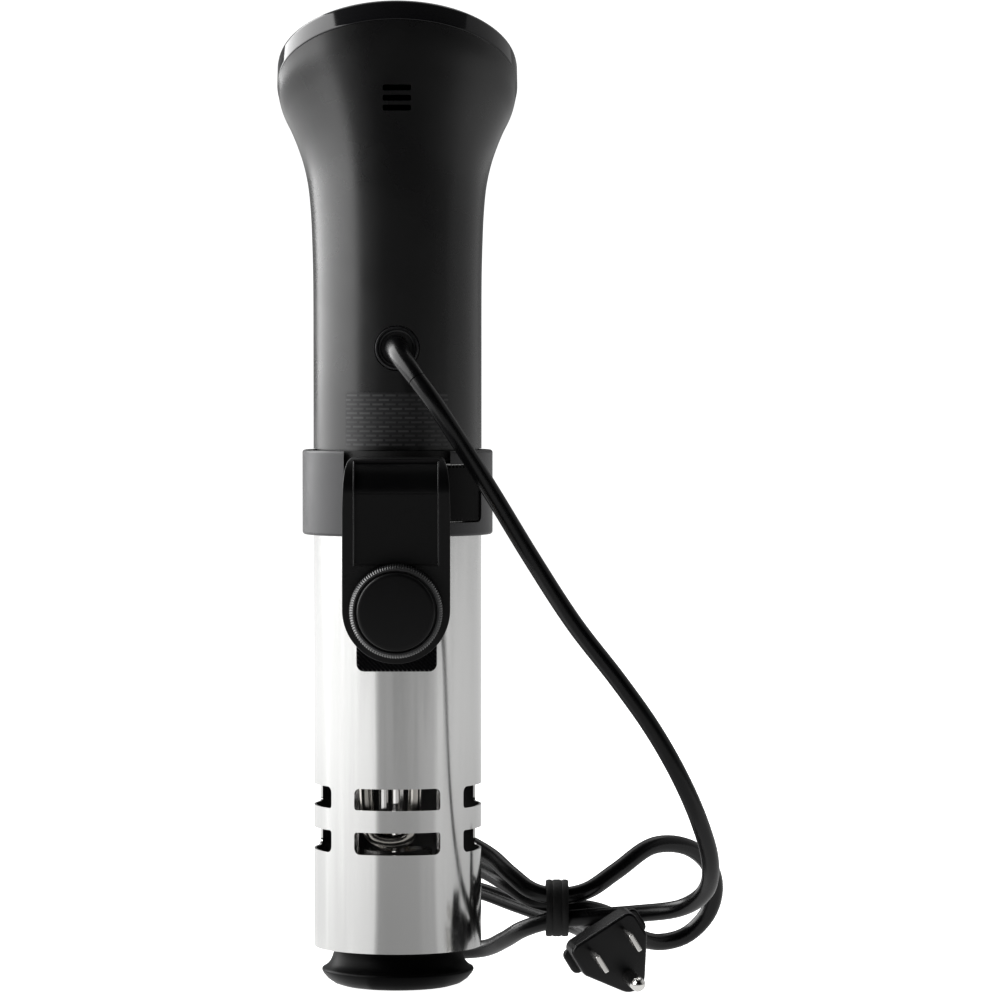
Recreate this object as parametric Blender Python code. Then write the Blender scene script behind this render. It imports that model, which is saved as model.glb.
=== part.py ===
"""Sous vide circulator: an immersion heater and stirrer that clamps to the wall of a pot.

Driving dimensions are in millimetres, and finish() turns them into metres. The body stands upright on
its foot: +Z is up the body's axis, the origin is the middle of the foot's flat underside, the clamp
is on the -Y side, and the tilted control face looks towards +Y.
"""
import math

import bmesh
import bpy
import numpy as np
from mathutils import Matrix, Vector

MM = 0.001
GAP = 0.3                      # clearance between neighbouring pieces
ROUND = 48                     # sides of a large turned piece
SMALL_ROUND = 20               # sides of a small turned piece

# body
SKIRT_R = 27.6
SKIRT_WALL = 0.7
SKIRT_BOTTOM = 13.2
SLOT_ROWS = [(45.5, 52.7), (60.0, 67.0)]
SLOT_PLACES = [(0, 30.5), (81.5, 30), (-81.5, 30)]  # middle angle and half span, degrees
BODY_R = 27.7
BODY_BOTTOM = 177.4            # where the plastic upper body starts, just above the collar
SHELL_WALL = 2.2
FACE_TILT = math.radians(36)   # the control face's slope, low at the front
FACE_Z = 296.3                 # height of the tilted edge where it is widest
RIM_HEIGHT = 9.0
GROMMET_Z = 210.3
LABEL_Z = (178.4, 196.0)
LABEL_HALF_SPAN = math.radians(36)

# wet end
BULKHEAD = (168.0, 174.0)
HEATER_BOTTOM = 49.0
PUMP_TOP = 45.0
FOOT_R = 25.1
ROTOR_CLEARANCE = 0.08         # running fit of the drive shaft in its bearings

# clamp
COLLAR = (149.2, 177.0)
COLLAR_R = 31.35
COLLAR_BORE = 28.8
ARM_FACE_Y = -72.0
ARM_THICK = 7.0
ARM_WIDTH = 34.1
KNOB_Z = 127.8
KNOB_R = 14.7
CAP_R = 12.3                   # the plain cap in the middle of the knob
PAD_FACE_Y = -44.5
PAD_Z = (106.9, 144.9)
PAD_WIDTH = 25.7
SCREW_R = 4.0
BUTTON_ANGLE = math.radians(46)  # from the arm towards +X
BUTTON_SPAN = math.radians(19)
BUTTON_Z = (153.6, 172.6)

# cord
CORD_R = 2.9
TIE_CENTRE = (53.0, 12.0, 23.8)
TIE_R = (8.6, 9.6)
TIE_LENGTH = 7.6
CORD_STEP = 12.8
RELIEF_LENGTH = 25.0           # tapered sleeve on the cord's first stretch
ROUTE = [
    (0.0, -27.9, 210.3), (0.1, -35.4, 209.9), (1.6, -42.4, 207.2), (5.6, -47.8, 201.6),
    (11.9, -51.0, 193.0), (21.7, -50.0, 178.0), (31.1, -48.3, 163.0), (43.5, -46.8, 142.6),
    (57.0, -46.0, 121.8), (71.0, -45.6, 103.7), (81.8, -45.3, 88.5), (90.4, -43.9, 73.6),
    (97.3, -39.2, 58.3), (101.6, -29.6, 44.1), (101.1, -16.0, 32.8), (93.5, -2.3, 25.4),
    (78.0, 5.5, 22.5), (62.0, 8.5, 21.0), (50.5, 11.5, 19.5), (42.0, 19.0, 16.0),
    (36.0, 31.0, 11.0), (29.0, 46.5, 6.0), (17.0, 57.0, 4.0), (4.0, 62.0, 4.0),
    (-7.0, 62.0, 7.5), (-13.0, 59.0, 16.5), (-12.0, 54.5, 27.5), (-4.5, 50.0, 35.0),
    (6.5, 47.0, 37.5), (18.5, 42.5, 37.0), (29.0, 34.0, 34.0), (37.5, 23.5, 30.0),
    (45.0, 17.5, 26.0), (54.0, 15.0, 24.0), (63.0, 17.0, 23.0), (70.5, 24.5, 20.0),
    (76.0, 34.5, 15.0), (81.5, 44.0, 10.0), (89.5, 51.0, 7.5), (98.5, 54.5, 9.5),
    (105.5, 54.0, 16.5), (108.0, 50.0, 26.0), (105.0, 43.5, 35.5), (97.0, 35.0, 42.0),
    (85.5, 26.5, 43.0), (73.0, 17.5, 35.5), (62.5, 11.0, 29.5), (53.5, 10.0, 28.0),
    (45.0, 12.0, 29.5), (37.5, 18.0, 34.5), (30.5, 26.0, 40.0), (20.0, 32.0, 45.0),
    (6.0, 34.5, 48.5), (-7.0, 37.5, 49.5), (-17.0, 44.5, 45.5), (-20.5, 54.5, 38.0),
    (-14.5, 64.0, 30.0), (-2.0, 68.5, 26.0), (12.0, 67.5, 25.0), (26.0, 61.0, 24.5),
    (40.0, 52.5, 20.5), (53.0, 41.5, 17.0), (61.0, 30.5, 15.0), (64.65, 19.15, 14.21)]

# plug: its own axes are U along the row of blades, V towards the ground pin, W back to the cord
PLUG_FACE = Vector((69.4, -28.0, 15.9))
PLUG_BACK = Vector((-0.15, 0.987, 0.045)).normalized()
PLUG_ROLL = math.radians(32)
PLUG_CORD_V = 4.5
PLUG_LENGTH = 30.0
PLUG_RELIEF_LENGTH = 46.6      # from the face to the end of the relief


def clear_scene():
    for old in list(bpy.data.objects):
        bpy.data.objects.remove(old, do_unlink=True)


def material(name, colour, roughness, metallic=0.0):
    made = bpy.data.materials.new(name)
    made.use_nodes = True
    shader = made.node_tree.nodes["Principled BSDF"]
    shader.inputs["Base Color"].default_value = (*colour, 1.0)
    shader.inputs["Roughness"].default_value = roughness
    shader.inputs["Metallic"].default_value = metallic
    return made


BLACK = ((0.012, 0.012, 0.013), 0.35, 0.0)
CHARCOAL = ((0.035, 0.036, 0.038), 0.45, 0.0)
GREY = ((0.12, 0.12, 0.125), 0.5, 0.0)
RUBBER = ((0.015, 0.015, 0.015), 0.8, 0.0)
GLOSS = ((0.006, 0.006, 0.007), 0.08, 0.0)
STEEL = ((0.62, 0.61, 0.60), 0.25, 1.0)
BRASS = ((0.72, 0.55, 0.28), 0.3, 1.0)
BOARD = ((0.02, 0.12, 0.05), 0.5, 0.0)


def axis_frame(name, place):
    """An empty on a body's joint axis; the body's pieces are its children."""
    empty = bpy.data.objects.new(name, None)
    empty.location = Vector(place) * MM
    bpy.context.collection.objects.link(empty)
    return empty


def finish(name, bm, look, frame, sharp=35):
    """Turn a bmesh in millimetres into an object of its own whose origin is the frame's empty."""
    bmesh.ops.remove_doubles(bm, verts=bm.verts, dist=1e-4)
    bmesh.ops.recalc_face_normals(bm, faces=bm.faces)
    bmesh.ops.scale(bm, vec=(MM, MM, MM), verts=bm.verts)
    bmesh.ops.translate(bm, vec=-frame.location, verts=bm.verts)
    data = bpy.data.meshes.new(name)
    bm.to_mesh(data)
    bm.free()
    data.shade_smooth()
    data.set_sharp_from_angle(angle=math.radians(sharp))
    made = bpy.data.objects.new(name, data)
    bpy.context.collection.objects.link(made)
    made.parent = frame
    data.materials.append(material(name, *look))
    return made


def turned(profile, centre=(0, 0, 0), axis="Z", steps=ROUND, closed=True):
    """Spin (radius, height) points about an axis through centre. closed=False when both ends of the
    profile are on the axis."""
    bm = bmesh.new()
    verts = [bm.verts.new((r, 0, h)) for r, h in profile]
    edges = [bm.edges.new(pair) for pair in zip(verts, verts[1:])]
    if closed:
        edges.append(bm.edges.new((verts[-1], verts[0])))
    bmesh.ops.spin(bm, geom=verts + edges, cent=(0, 0, 0), axis=(0, 0, 1), dvec=(0, 0, 0),
                   angle=math.tau, steps=steps, use_merge=True, use_duplicate=False)
    bmesh.ops.remove_doubles(bm, verts=bm.verts, dist=1e-4)
    turn = {"Z": Matrix(), "Y": Matrix.Rotation(math.radians(-90), 4, "X"),
            "X": Matrix.Rotation(math.radians(90), 4, "Y")}[axis]
    bmesh.ops.transform(bm, matrix=Matrix.Translation(centre) @ turn, verts=bm.verts)
    return bm


def ring(inner, outer, low, high, **place):
    return turned([(inner, low), (outer, low), (outer, high), (inner, high)], **place)


def disc(radius, low, high, **place):
    return turned([(0, low), (radius, low), (radius, high), (0, high)], closed=False, **place)


def rod(start, end, radius, sides=12):
    start, end = Vector(start), Vector(end)
    bm = bmesh.new()
    bmesh.ops.create_cone(bm, cap_ends=True, segments=sides, radius1=radius, radius2=radius,
                          depth=(end - start).length)
    turn = (end - start).to_track_quat("Z", "Y").to_matrix().to_4x4()
    bmesh.ops.transform(bm, matrix=Matrix.Translation((start + end) / 2) @ turn, verts=bm.verts)
    return bm


def block(low, high, edge=0.0, segments=2):
    low, high = Vector(low), Vector(high)
    bm = bmesh.new()
    size = Matrix.Diagonal((*(high - low), 1))
    bmesh.ops.create_cube(bm, size=1, matrix=Matrix.Translation((low + high) / 2) @ size)
    if edge:
        bmesh.ops.bevel(bm, geom=bm.edges[:], offset=edge, affect="EDGES", segments=segments,
                        profile=0.5, material=-1)
    return bm


def prism(outline, depth, matrix=Matrix(), edge=0.0):
    """Extrude an outline in the XY plane by depth along +Z, then place it."""
    bm = bmesh.new()
    face = bm.faces.new([bm.verts.new((x, y, 0)) for x, y in outline])
    up = bmesh.ops.extrude_face_region(bm, geom=[face])
    top = [item for item in up["geom"] if isinstance(item, bmesh.types.BMVert)]
    bmesh.ops.translate(bm, vec=(0, 0, depth), verts=top)
    if edge:
        ends = [e for e in bm.edges if abs(e.verts[0].co.z - e.verts[1].co.z) < 1e-6]
        bmesh.ops.bevel(bm, geom=ends, offset=edge, affect="EDGES", segments=2, profile=0.5,
                        material=-1)
    bmesh.ops.transform(bm, matrix=matrix, verts=bm.verts)
    return bm


def rounded(width, height, radius, corner_steps=4):
    """A rounded rectangle's outline about its centre."""
    points = []
    for quarter, (sx, sy) in enumerate([(1, 1), (-1, 1), (-1, -1), (1, -1)]):
        cx, cy = sx * (width / 2 - radius), sy * (height / 2 - radius)
        for step in range(corner_steps + 1):
            a = math.radians(90) * (quarter + step / corner_steps)
            points.append((cx + radius * math.cos(a), cy + radius * math.sin(a)))
    return points


def combine(target, tools, operation="DIFFERENCE"):
    """Boolean each tool, a bmesh in millimetres, into the target; the tools stay as hidden guides."""
    for count, bm in enumerate(tools):
        tool = finish(f"{target.name}_tool_{count}", bm, BLACK, target.parent)
        tool.hide_render = True
        tool.display_type = "WIRE"
        step = target.modifiers.new(f"{operation.lower()}_{count}", "BOOLEAN")
        step.operation = operation
        step.object = tool
        step.solver = "EXACT"
    return target


def sector(inner, outer, low, high, middle, half_span, steps=8):
    """A curved block: part of a ring about the body's axis, with its middle at an angle measured
    from -Y towards +X."""
    outline = []
    for radius, order in ((outer, 1), (inner, -1)):
        for step in range(steps + 1):
            a = middle + order * half_span * (2 * step / steps - 1)
            outline.append((radius * math.sin(a), -radius * math.cos(a)))
    return prism(outline, high - low, Matrix.Translation((0, 0, low)))


def face_ring(z, half_width, back, front, slope, inset=0.0, lift=0.0, steps=ROUND):
    """Points of one tilted ring of the upper body: an ellipse whose back and front halves differ.
    lift moves it along the ring's own normal."""
    points = []
    for step in range(steps):
        a = math.tau * step / steps
        depth = front if math.sin(a) > 0 else back
        y = (depth - inset) * math.sin(a)
        points.append(Vector(((half_width - inset) * math.cos(a), y, z - slope * y)))
    normal = Vector((0, slope, 1)).normalized()
    return [point + lift * normal for point in points]


def lofted(rings):
    """Skin a closed loop of rings, each with the same number of points."""
    bm = bmesh.new()
    made = [[bm.verts.new(point) for point in ring_points] for ring_points in rings]
    for lower, upper in zip(made, made[1:] + made[:1]):
        for i in range(len(lower)):
            j = (i + 1) % len(lower)
            bm.faces.new((lower[i], lower[j], upper[j], upper[i]))
    return bm


def capped_loft(rings):
    bm = bmesh.new()
    made = [[bm.verts.new(point) for point in ring_points] for ring_points in rings]
    for lower, upper in zip(made, made[1:]):
        for i in range(len(lower)):
            j = (i + 1) % len(lower)
            bm.faces.new((lower[i], lower[j], upper[j], upper[i]))
    bm.faces.new(made[0])
    bm.faces.new(made[-1])
    return bm


SLOPE = math.tan(FACE_TILT)
# the upper body's rings: height at the widest point, half width, back depth, front depth, slope
BODY_RINGS = [
    (BODY_BOTTOM, BODY_R, BODY_R, BODY_R, 0.0), (206.0, BODY_R, BODY_R, BODY_R, 0.0),
    (232.0, 27.75, BODY_R, 27.8, 0.02), (245.0, 28.05, BODY_R, 28.1, 0.08),
    (255.0, 28.5, BODY_R, 28.5, 0.16), (264.0, 29.4, BODY_R, 29.1, 0.26),
    (272.0, 31.1, BODY_R, 29.9, 0.37), (279.5, 33.5, BODY_R, 30.7, 0.48),
    (286.0, 36.0, BODY_R, 31.3, 0.58), (291.5, 38.4, BODY_R, 31.7, 0.66),
    (FACE_Z, 39.5, BODY_R, 32.0, SLOPE)]


def upper_body(frame):
    outer = [face_ring(*row) for row in BODY_RINGS]
    inner = [face_ring(*row, inset=SHELL_WALL) for row in BODY_RINGS]
    shell = finish("upper_body", lofted(outer + inner[::-1]), CHARCOAL, frame)
    vents = [prism(rounded(9.2, 1.95, 0.6, 2), 8,
                   Matrix.Translation((0, -24, z)) @ Matrix.Rotation(math.radians(90), 4, "X"))
             for z in (294.6, 291.3, 288.1)]
    bore = disc(7.4, -32, -20, centre=(0, 0, GROMMET_Z), axis="Y", steps=SMALL_ROUND)
    return combine(shell, vents + [bore])


def rim_bezel(frame):
    top = BODY_RINGS[-1]
    outside = [face_ring(*top, inset=i, lift=h) for i, h in
               ((0.5, GAP), (0.0, 1.2), (0.0, RIM_HEIGHT - 1.2), (0.6, RIM_HEIGHT))]
    inside = [face_ring(*top, inset=i, lift=h) for i, h in
              ((3.2, RIM_HEIGHT), (3.2, RIM_HEIGHT - 2.6), (5.6, RIM_HEIGHT - 2.6), (5.6, GAP))]
    return finish("rim_bezel", lofted(outside + inside), GLOSS, frame)


def face_plate(name, inset, low, high, look, frame):
    """A flat plate that follows the tilted face's outline."""
    top = BODY_RINGS[-1]
    return finish(name, capped_loft([face_ring(*top, inset=inset, lift=low),
                                     face_ring(*top, inset=inset, lift=high)]), look, frame)


def skirt(frame):
    tube = ring(SKIRT_R - SKIRT_WALL, SKIRT_R, SKIRT_BOTTOM, BODY_BOTTOM - 1.0)
    made = finish("skirt", tube, STEEL, frame)
    slots = []
    for low, high in SLOT_ROWS:
        for middle, half in SLOT_PLACES:
            slots.append(sector(SKIRT_R - 2, SKIRT_R + 2, low, high, math.radians(middle),
                                math.radians(half)))
    return combine(made, slots)


def foot_cap(frame):
    profile = [(0, 0), (17, 0), (21.5, 1.2), (24.4, 3.6), (FOOT_R, 5.3), (23.6, 6.6), (21.6, 9.4),
               (20.8, 12.6), (20.8, 22.0), (18.6, 22.0), (18.6, 9.0), (0, 9.0)]
    return finish("foot_cap", turned(profile, closed=False), BLACK, frame, sharp=50)


def pump(frame, rotor):
    """The pump housing hangs on two posts and holds the bottom bearing; the impeller spins under it."""
    housing = ring(4.6, 17.6, 36.0, 38.0)
    made = finish("pump_housing", housing, STEEL, frame)
    wall = ring(15.4, 17.6, 22.6, 36.5)
    collar_ring = ring(9.6, 11.4, 37.5, PUMP_TOP)
    combine(made, [wall, collar_ring], "UNION")
    vane_cut = [block((-2.6, -20, 24.0), (2.6, 20, 34.0))]
    combine(made, vane_cut)
    finish("lower_bearing", ring(2.0 + ROTOR_CLEARANCE, 4.3, 34.6, 40.0, steps=SMALL_ROUND), BRASS,
           frame)
    blades = []
    for count in range(6):
        turn = Matrix.Rotation(math.tau * count / 6, 4, "Z")
        blade = block((3.5, -0.7, 21.5), (14.2, 0.7, 31.0))
        bmesh.ops.transform(blade, matrix=turn, verts=blade.verts)
        blades.append(blade)
    hub = finish("impeller", ring(2.3, 5.0, 20.0, 32.5, steps=SMALL_ROUND), BLACK, rotor)
    disc_plate = ring(2.6, 14.2, 20.0, 21.8, steps=24)
    combine(hub, [disc_plate] + blades, "UNION")


def wet_end(frame):
    """Everything that hangs from the bulkhead inside the skirt."""
    holes = [ring_hole(x, y, r) for x, y, r in
             [(0, 0, 6.6), *[(x, y, 2.6) for x, y in HEATER_LEGS], (*PROBE_AT, 2.0),
              *[(x, y, 1.6) for x, y in LEVEL_AT], *[(x, y, 2.2) for x, y in POST_AT]]]
    plate = finish("bulkhead", disc(26.4, *BULKHEAD), BLACK, frame)
    combine(plate, [ring(25.3, 28, 169.8, 172.2)] + holes)
    finish("bulkhead_seal", ring(25.6, 26.6, 170.1, 171.9), RUBBER, frame)
    finish("shaft_seal", ring(2.0 + ROTOR_CLEARANCE, 6.2, 168.4, 171.0, steps=SMALL_ROUND), RUBBER,
           frame)
    finish("upper_bearing", ring(2.0 + ROTOR_CLEARANCE, 6.2, 171.4, 175.6, steps=SMALL_ROUND), BRASS,
           frame)
    finish("temperature_probe", rod((*PROBE_AT, 54), (*PROBE_AT, 176), 1.6), STEEL, frame)
    for side, spot in zip(("low", "high"), LEVEL_AT):
        end = 62 if side == "low" else 92
        finish(f"level_probe_{side}", rod((*spot, end), (*spot, 176), 1.2, 10), STEEL, frame)
    for side, spot in zip(("left", "right"), POST_AT):
        finish(f"support_post_{side}", rod((*spot, 38.3), (*spot, 176), 1.8), STEEL, frame)


def ring_hole(x, y, radius):
    return rod((x, y, BULKHEAD[0] - 2), (x, y, BULKHEAD[1] + 2), radius, 14)


HEATER_LEGS = [(-9.5, -15.0), (5.0, -16.8), (-9.5, 15.0), (5.0, 16.8)]
PROBE_AT = (-4.4, -20.8)
LEVEL_AT = [(-0.6, -20.9), (9.8, -18.0)]
POST_AT = [(-14.4, 0.0), (14.4, 0.0)]


def smooth_route(points, spacing, start=0.0, end=None):
    """Points a step apart along a smooth (centripetal) curve through the route's own points, from one
    distance along it to another."""
    route = [Vector(p) for p in points]
    route = [2 * route[0] - route[1]] + route + [2 * route[-1] - route[-2]]
    dense = []
    for before, here, there, after in zip(route, route[1:], route[2:], route[3:]):
        knots = [0.0]
        for a, b in ((before, here), (here, there), (there, after)):
            knots.append(knots[-1] + math.sqrt((b - a).length))
        for t in np.linspace(knots[1], knots[2], 12, endpoint=False):
            a1 = before.lerp(here, (t - knots[0]) / (knots[1] - knots[0]))
            a2 = here.lerp(there, (t - knots[1]) / (knots[2] - knots[1]))
            a3 = there.lerp(after, (t - knots[2]) / (knots[3] - knots[2]))
            b1 = a1.lerp(a2, (t - knots[0]) / (knots[2] - knots[0]))
            b2 = a2.lerp(a3, (t - knots[1]) / (knots[3] - knots[1]))
            dense.append(b1.lerp(b2, (t - knots[1]) / (knots[2] - knots[1])))
    dense.append(route[-2])
    dense = np.array(dense)
    along = np.concatenate([[0], np.cumsum(np.linalg.norm(np.diff(dense, axis=0), axis=1))])
    end = along[-1] if end is None else end
    stops = np.linspace(start, end, max(2, round((end - start) / spacing) + 1))
    return np.column_stack([np.interp(stops, along, dense[:, k]) for k in range(3)])


def tube(name, points, radius, look, frame, sides=2, taper=1.0):
    """A round tube along points, ending at taper times its starting radius."""
    data = bpy.data.curves.new(name, "CURVE")
    data.dimensions = "3D"
    data.bevel_depth = radius * MM
    data.bevel_resolution = sides
    data.use_fill_caps = True
    line = data.splines.new("POLY")
    line.points.add(len(points) - 1)
    origin = frame.location
    for index, (spot, place) in enumerate(zip(line.points, points)):
        spot.co = (*(Vector(place) * MM - origin), 1)
        spot.radius = 1 + (taper - 1) * index / (len(points) - 1)
    made = bpy.data.objects.new(name, data)
    bpy.context.collection.objects.link(made)
    made.parent = frame
    data.materials.append(material(name, *look))
    return made


def heater(frame):
    """One tube: down, across, up, round the back, down, across and up again."""
    (x1, y1), (x2, y2), (x3, y3), (x4, y4) = HEATER_LEGS
    low, high = HEATER_BOTTOM + 5, BULKHEAD[1] + 2
    bend = 5.0
    route = [(x1, y1, high), (x1, y1, low), (x1 + 1.5, y1 - 0.2, low - 3.6),
             (x1 + bend, y1 - 0.6, HEATER_BOTTOM), (x2 - bend, y2 + 0.6, HEATER_BOTTOM),
             (x2 - 1.5, y2 + 0.2, low - 3.6), (x2, y2, low), (x2, y2, 158.0), (x2 + 3, 0.0, 161.0),
             (x4, y4, 158.0), (x4, y4, low), (x4 - 1.5, y4 - 0.2, low - 3.6),
             (x4 - bend, y4 - 0.6, HEATER_BOTTOM), (x3 + bend, y3 + 0.6, HEATER_BOTTOM),
             (x3 + 1.5, y3 + 0.2, low - 3.6), (x3, y3, low), (x3, y3, high)]
    tube("heater_element", route, 2.2, STEEL, frame)


def drive(frame, rotor):
    """Motor, fan and shaft; the shaft runs down the axis to the impeller."""
    finish("drive_shaft", rod((0, 0, 22.2), (0, 0, 183.4), 2.0, 16), STEEL, rotor)
    finish("shaft_coupling", ring(2.3, 5.2, 178.4, 186.6, steps=SMALL_ROUND), BRASS, rotor)
    finish("motor_shaft", rod((0, 0, 183.8), (0, 0, 236.0), 2.0, 16), STEEL, rotor)
    bracket = finish("motor_bracket", ring(6.5, 24.6, 187.2, 189.2), STEEL, frame)
    combine(bracket, [block((15, -10, 186), (26, 10, 191))])
    can = [(2.1, 189.6), (6.2, 189.6), (6.2, 191.2), (16.5, 191.2), (17, 192.0), (17, 224.2),
           (16.2, 225.0), (5.0, 225.0), (5.0, 227.0), (2.1, 227.0)]
    finish("motor", turned(can, steps=32), STEEL, frame)
    fan = finish("cooling_fan", ring(2.3, 4.6, 228.0, 236.0, steps=SMALL_ROUND), BLACK, rotor)
    blades = []
    for count in range(7):
        blade = block((3.8, -4.2, -0.5), (15.5, 4.2, 0.5))
        turn = (Matrix.Rotation(math.tau * count / 7, 4, "Z") @ Matrix.Translation((0, 0, 232))
                @ Matrix.Rotation(math.radians(32), 4, "X"))
        bmesh.ops.transform(blade, matrix=turn, verts=blade.verts)
        blades.append(blade)
    combine(fan, blades, "UNION")
    for side, x in (("left", -12.0), ("right", 12.0)):
        head = disc(2.6, 184.6, 186.9, centre=(x, 0, 0), steps=12)
        finish(f"motor_screw_{side}", head, STEEL, frame)


def electronics(frame):
    finish("chassis", ring(24.4, 25.2, 192.0, 262.0, steps=32), BLACK, frame)
    combine(bpy.data.objects["chassis"],
            [disc(8.6, -30, -20, centre=(0, 0, GROMMET_Z), axis="Y", steps=SMALL_ROUND)])
    board_y = 18.2
    finish("control_board", block((-13, board_y, 196), (13, board_y + 1.4, 258)), BOARD, frame)
    finish("relay", block((-9, 19.9, 240), (-1, 22.4, 254), 0.4, 1), BLACK, frame)
    finish("heater_switch", block((2, 19.9, 238), (9, 22.2, 252), 0.4, 1), BLACK, frame)
    finish("capacitor", rod((0, 12.6, 250), (0, 12.6, 236.6), 4.6, 16), BLACK, frame)
    finish("heat_sink", block((-11, 4.0, 240), (-6, 17.9, 256), 0.3, 1), STEEL, frame)


def grommet(frame):
    profile = [(CORD_R + GAP, -26.0), (5.2, -26.0), (5.2, -28.1), (6.0, -28.1), (6.0, -28.9),
               (7.1, -28.9), (7.1, -23.0), (CORD_R + GAP, -23.0)]
    finish("cord_grommet", turned(profile, centre=(0, 0, GROMMET_Z), axis="Y", steps=28), BLACK,
           frame)


def rating_label(frame):
    finish("rating_label", sector(BODY_R + GAP, BODY_R + 0.65, *LABEL_Z, 0, LABEL_HALF_SPAN, 14),
           BLACK, frame)


def clamp(frame):
    ring_profile = [(COLLAR_BORE + 0.6, COLLAR[0]), (COLLAR_R - 1, COLLAR[0]),
                    (COLLAR_R, COLLAR[0] + 1), (COLLAR_R, COLLAR[1] - 1),
                    (COLLAR_R - 1, COLLAR[1]), (COLLAR_BORE + 0.6, COLLAR[1])]
    collar = finish("collar", turned(ring_profile), GREY, frame)
    window = sector(26, 34, *BUTTON_Z, BUTTON_ANGLE, BUTTON_SPAN / 1.25)
    arm_seat = block((-17.3, -33, COLLAR[0] - 1), (17.3, -22, COLLAR[1] + 1))
    combine(collar, [window, arm_seat])
    liner = finish("collar_liner", ring(SKIRT_R + GAP, COLLAR_BORE + 0.3, 150.2, 176.0), RUBBER, frame)
    combine(liner, [sector(26, 34, BUTTON_Z[0] - 1, BUTTON_Z[1] + 1, BUTTON_ANGLE, BUTTON_SPAN)])

    half = ARM_WIDTH / 2
    outline = [(half * math.cos(a), KNOB_Z + half * math.sin(a))
               for a in np.linspace(-math.pi, 0, 17)]
    outline += [(half, 160.0), (half - 0.8, 172.0), (half - 2.6, 175.2), (-half + 2.6, 175.2),
                (-half + 0.8, 172.0), (-half, 160.0)]
    front = prism(outline, 45, Matrix.Translation((0, -28.5, 0)) @ Matrix.Rotation(
        math.radians(90), 4, "X"))
    arm = finish("clamp_arm", front, BLACK, frame)
    shoulder = 11.0
    side = [(-29.4, 176), (ARM_FACE_Y + shoulder, 176)]
    side += [(ARM_FACE_Y + shoulder * (1 - math.sin(a)), 175.5 - shoulder * (1 - math.cos(a)))
             for a in np.linspace(0, math.pi / 2, 8)][1:]
    inner_y = ARM_FACE_Y + ARM_THICK
    side += [(ARM_FACE_Y, 100), (inner_y, 100), (inner_y, 156.0), (inner_y + 2.5, 158.8),
             (-29.4, 158.8)]
    across = Matrix(((0, 0, 1, 0), (1, 0, 0, 0), (0, 1, 0, 0), (0, 0, 0, 1)))
    combine(arm, [prism(side, 60, Matrix.Translation((-30, 0, 0)) @ across)], "INTERSECT")
    bore = disc(8.4, ARM_FACE_Y - 2, inner_y + 2, centre=(0, 0, KNOB_Z), axis="Y", steps=24)
    seat = disc(COLLAR_BORE + 1.2, 140, 180)
    pin_hole = disc(2.0, ARM_FACE_Y - 2, inner_y + 2, centre=(0, 0, KNOB_Z + 12), axis="Y", steps=12)
    panel = block((-13.2, ARM_FACE_Y - 2, 146.0), (13.2, ARM_FACE_Y + 1.2, 162.5))
    combine(arm, [bore, pin_hole, panel, seat])
    finish("arm_panel", block((-12.9, ARM_FACE_Y + 0.2, 146.3), (12.9, ARM_FACE_Y + 0.9, 162.2)),
           BLACK, frame)
    finish("thread_insert", ring(SCREW_R + 0.35, 8.1, ARM_FACE_Y + 0.6, inner_y - 0.3,
                                 centre=(0, 0, KNOB_Z), axis="Y", steps=24), BRASS, frame)


def release_button(frame):
    finish("release_button", sector(29.6, COLLAR_R - 0.15, BUTTON_Z[0] + GAP, BUTTON_Z[1] - GAP,
                                    BUTTON_ANGLE, BUTTON_SPAN / 1.25 - 0.012), RUBBER, frame)


def knob(frame):
    back, front = ARM_FACE_Y - 0.6, ARM_FACE_Y - 14.0
    body = [(SCREW_R + 0.35, back), (KNOB_R, back), (KNOB_R, front + 1.0), (KNOB_R - 0.8, front),
            (CAP_R + 0.4, front), (CAP_R + 0.4, front + 3.0),
            (SCREW_R + 0.35, front + 3.0)]
    finish("knob_ring", turned(body, centre=(0, 0, KNOB_Z), axis="Y", steps=40), GREY, frame)
    cap = [(0, front + 2.7), (CAP_R, front + 2.7), (CAP_R, front - 1.0), (CAP_R - 0.8, front - 1.6),
           (0, front - 1.6)]
    finish("knob_cap", turned(cap, centre=(0, 0, KNOB_Z), axis="Y", steps=32, closed=False), BLACK,
           frame)


def pad(frame):
    carrier = prism(rounded(PAD_WIDTH, PAD_Z[1] - PAD_Z[0], 2.5), 3.0, pad_place(PAD_FACE_Y - 2.8))
    finish("pad_carrier", carrier, BLACK, frame)
    finish("pressure_pad", prism(rounded(PAD_WIDTH, PAD_Z[1] - PAD_Z[0], 2.5), 2.5,
                                 pad_place(PAD_FACE_Y)), RUBBER, frame)
    stem = PAD_FACE_Y - 6.1
    finish("clamp_screw", rod((0, -81.5, KNOB_Z), (0, stem, KNOB_Z), SCREW_R, 20), STEEL, frame)
    finish("pad_guide_pin", rod((0, -71.4, KNOB_Z + 12), (0, stem, KNOB_Z + 12), 1.6, 12), STEEL,
           frame)


def pad_place(face_y):
    """Place an outline drawn in XY so that it stands in the XZ plane with its front at face_y."""
    return Matrix.Translation((0, face_y, sum(PAD_Z) / 2)) @ Matrix.Rotation(math.radians(90), 4, "X")


def plug_matrix():
    across = PLUG_BACK.cross(Vector((0, 0, 1))).normalized() * -1
    up = PLUG_BACK.cross(across)
    if up.z < 0:
        up = -up
    if across.x < 0:
        across = -across
    u = math.cos(PLUG_ROLL) * across + math.sin(PLUG_ROLL) * up
    v = math.sin(PLUG_ROLL) * across - math.cos(PLUG_ROLL) * up
    return Matrix(((u.x, v.x, PLUG_BACK.x, PLUG_FACE.x), (u.y, v.y, PLUG_BACK.y, PLUG_FACE.y),
                   (u.z, v.z, PLUG_BACK.z, PLUG_FACE.z), (0, 0, 0, 1)))


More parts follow.
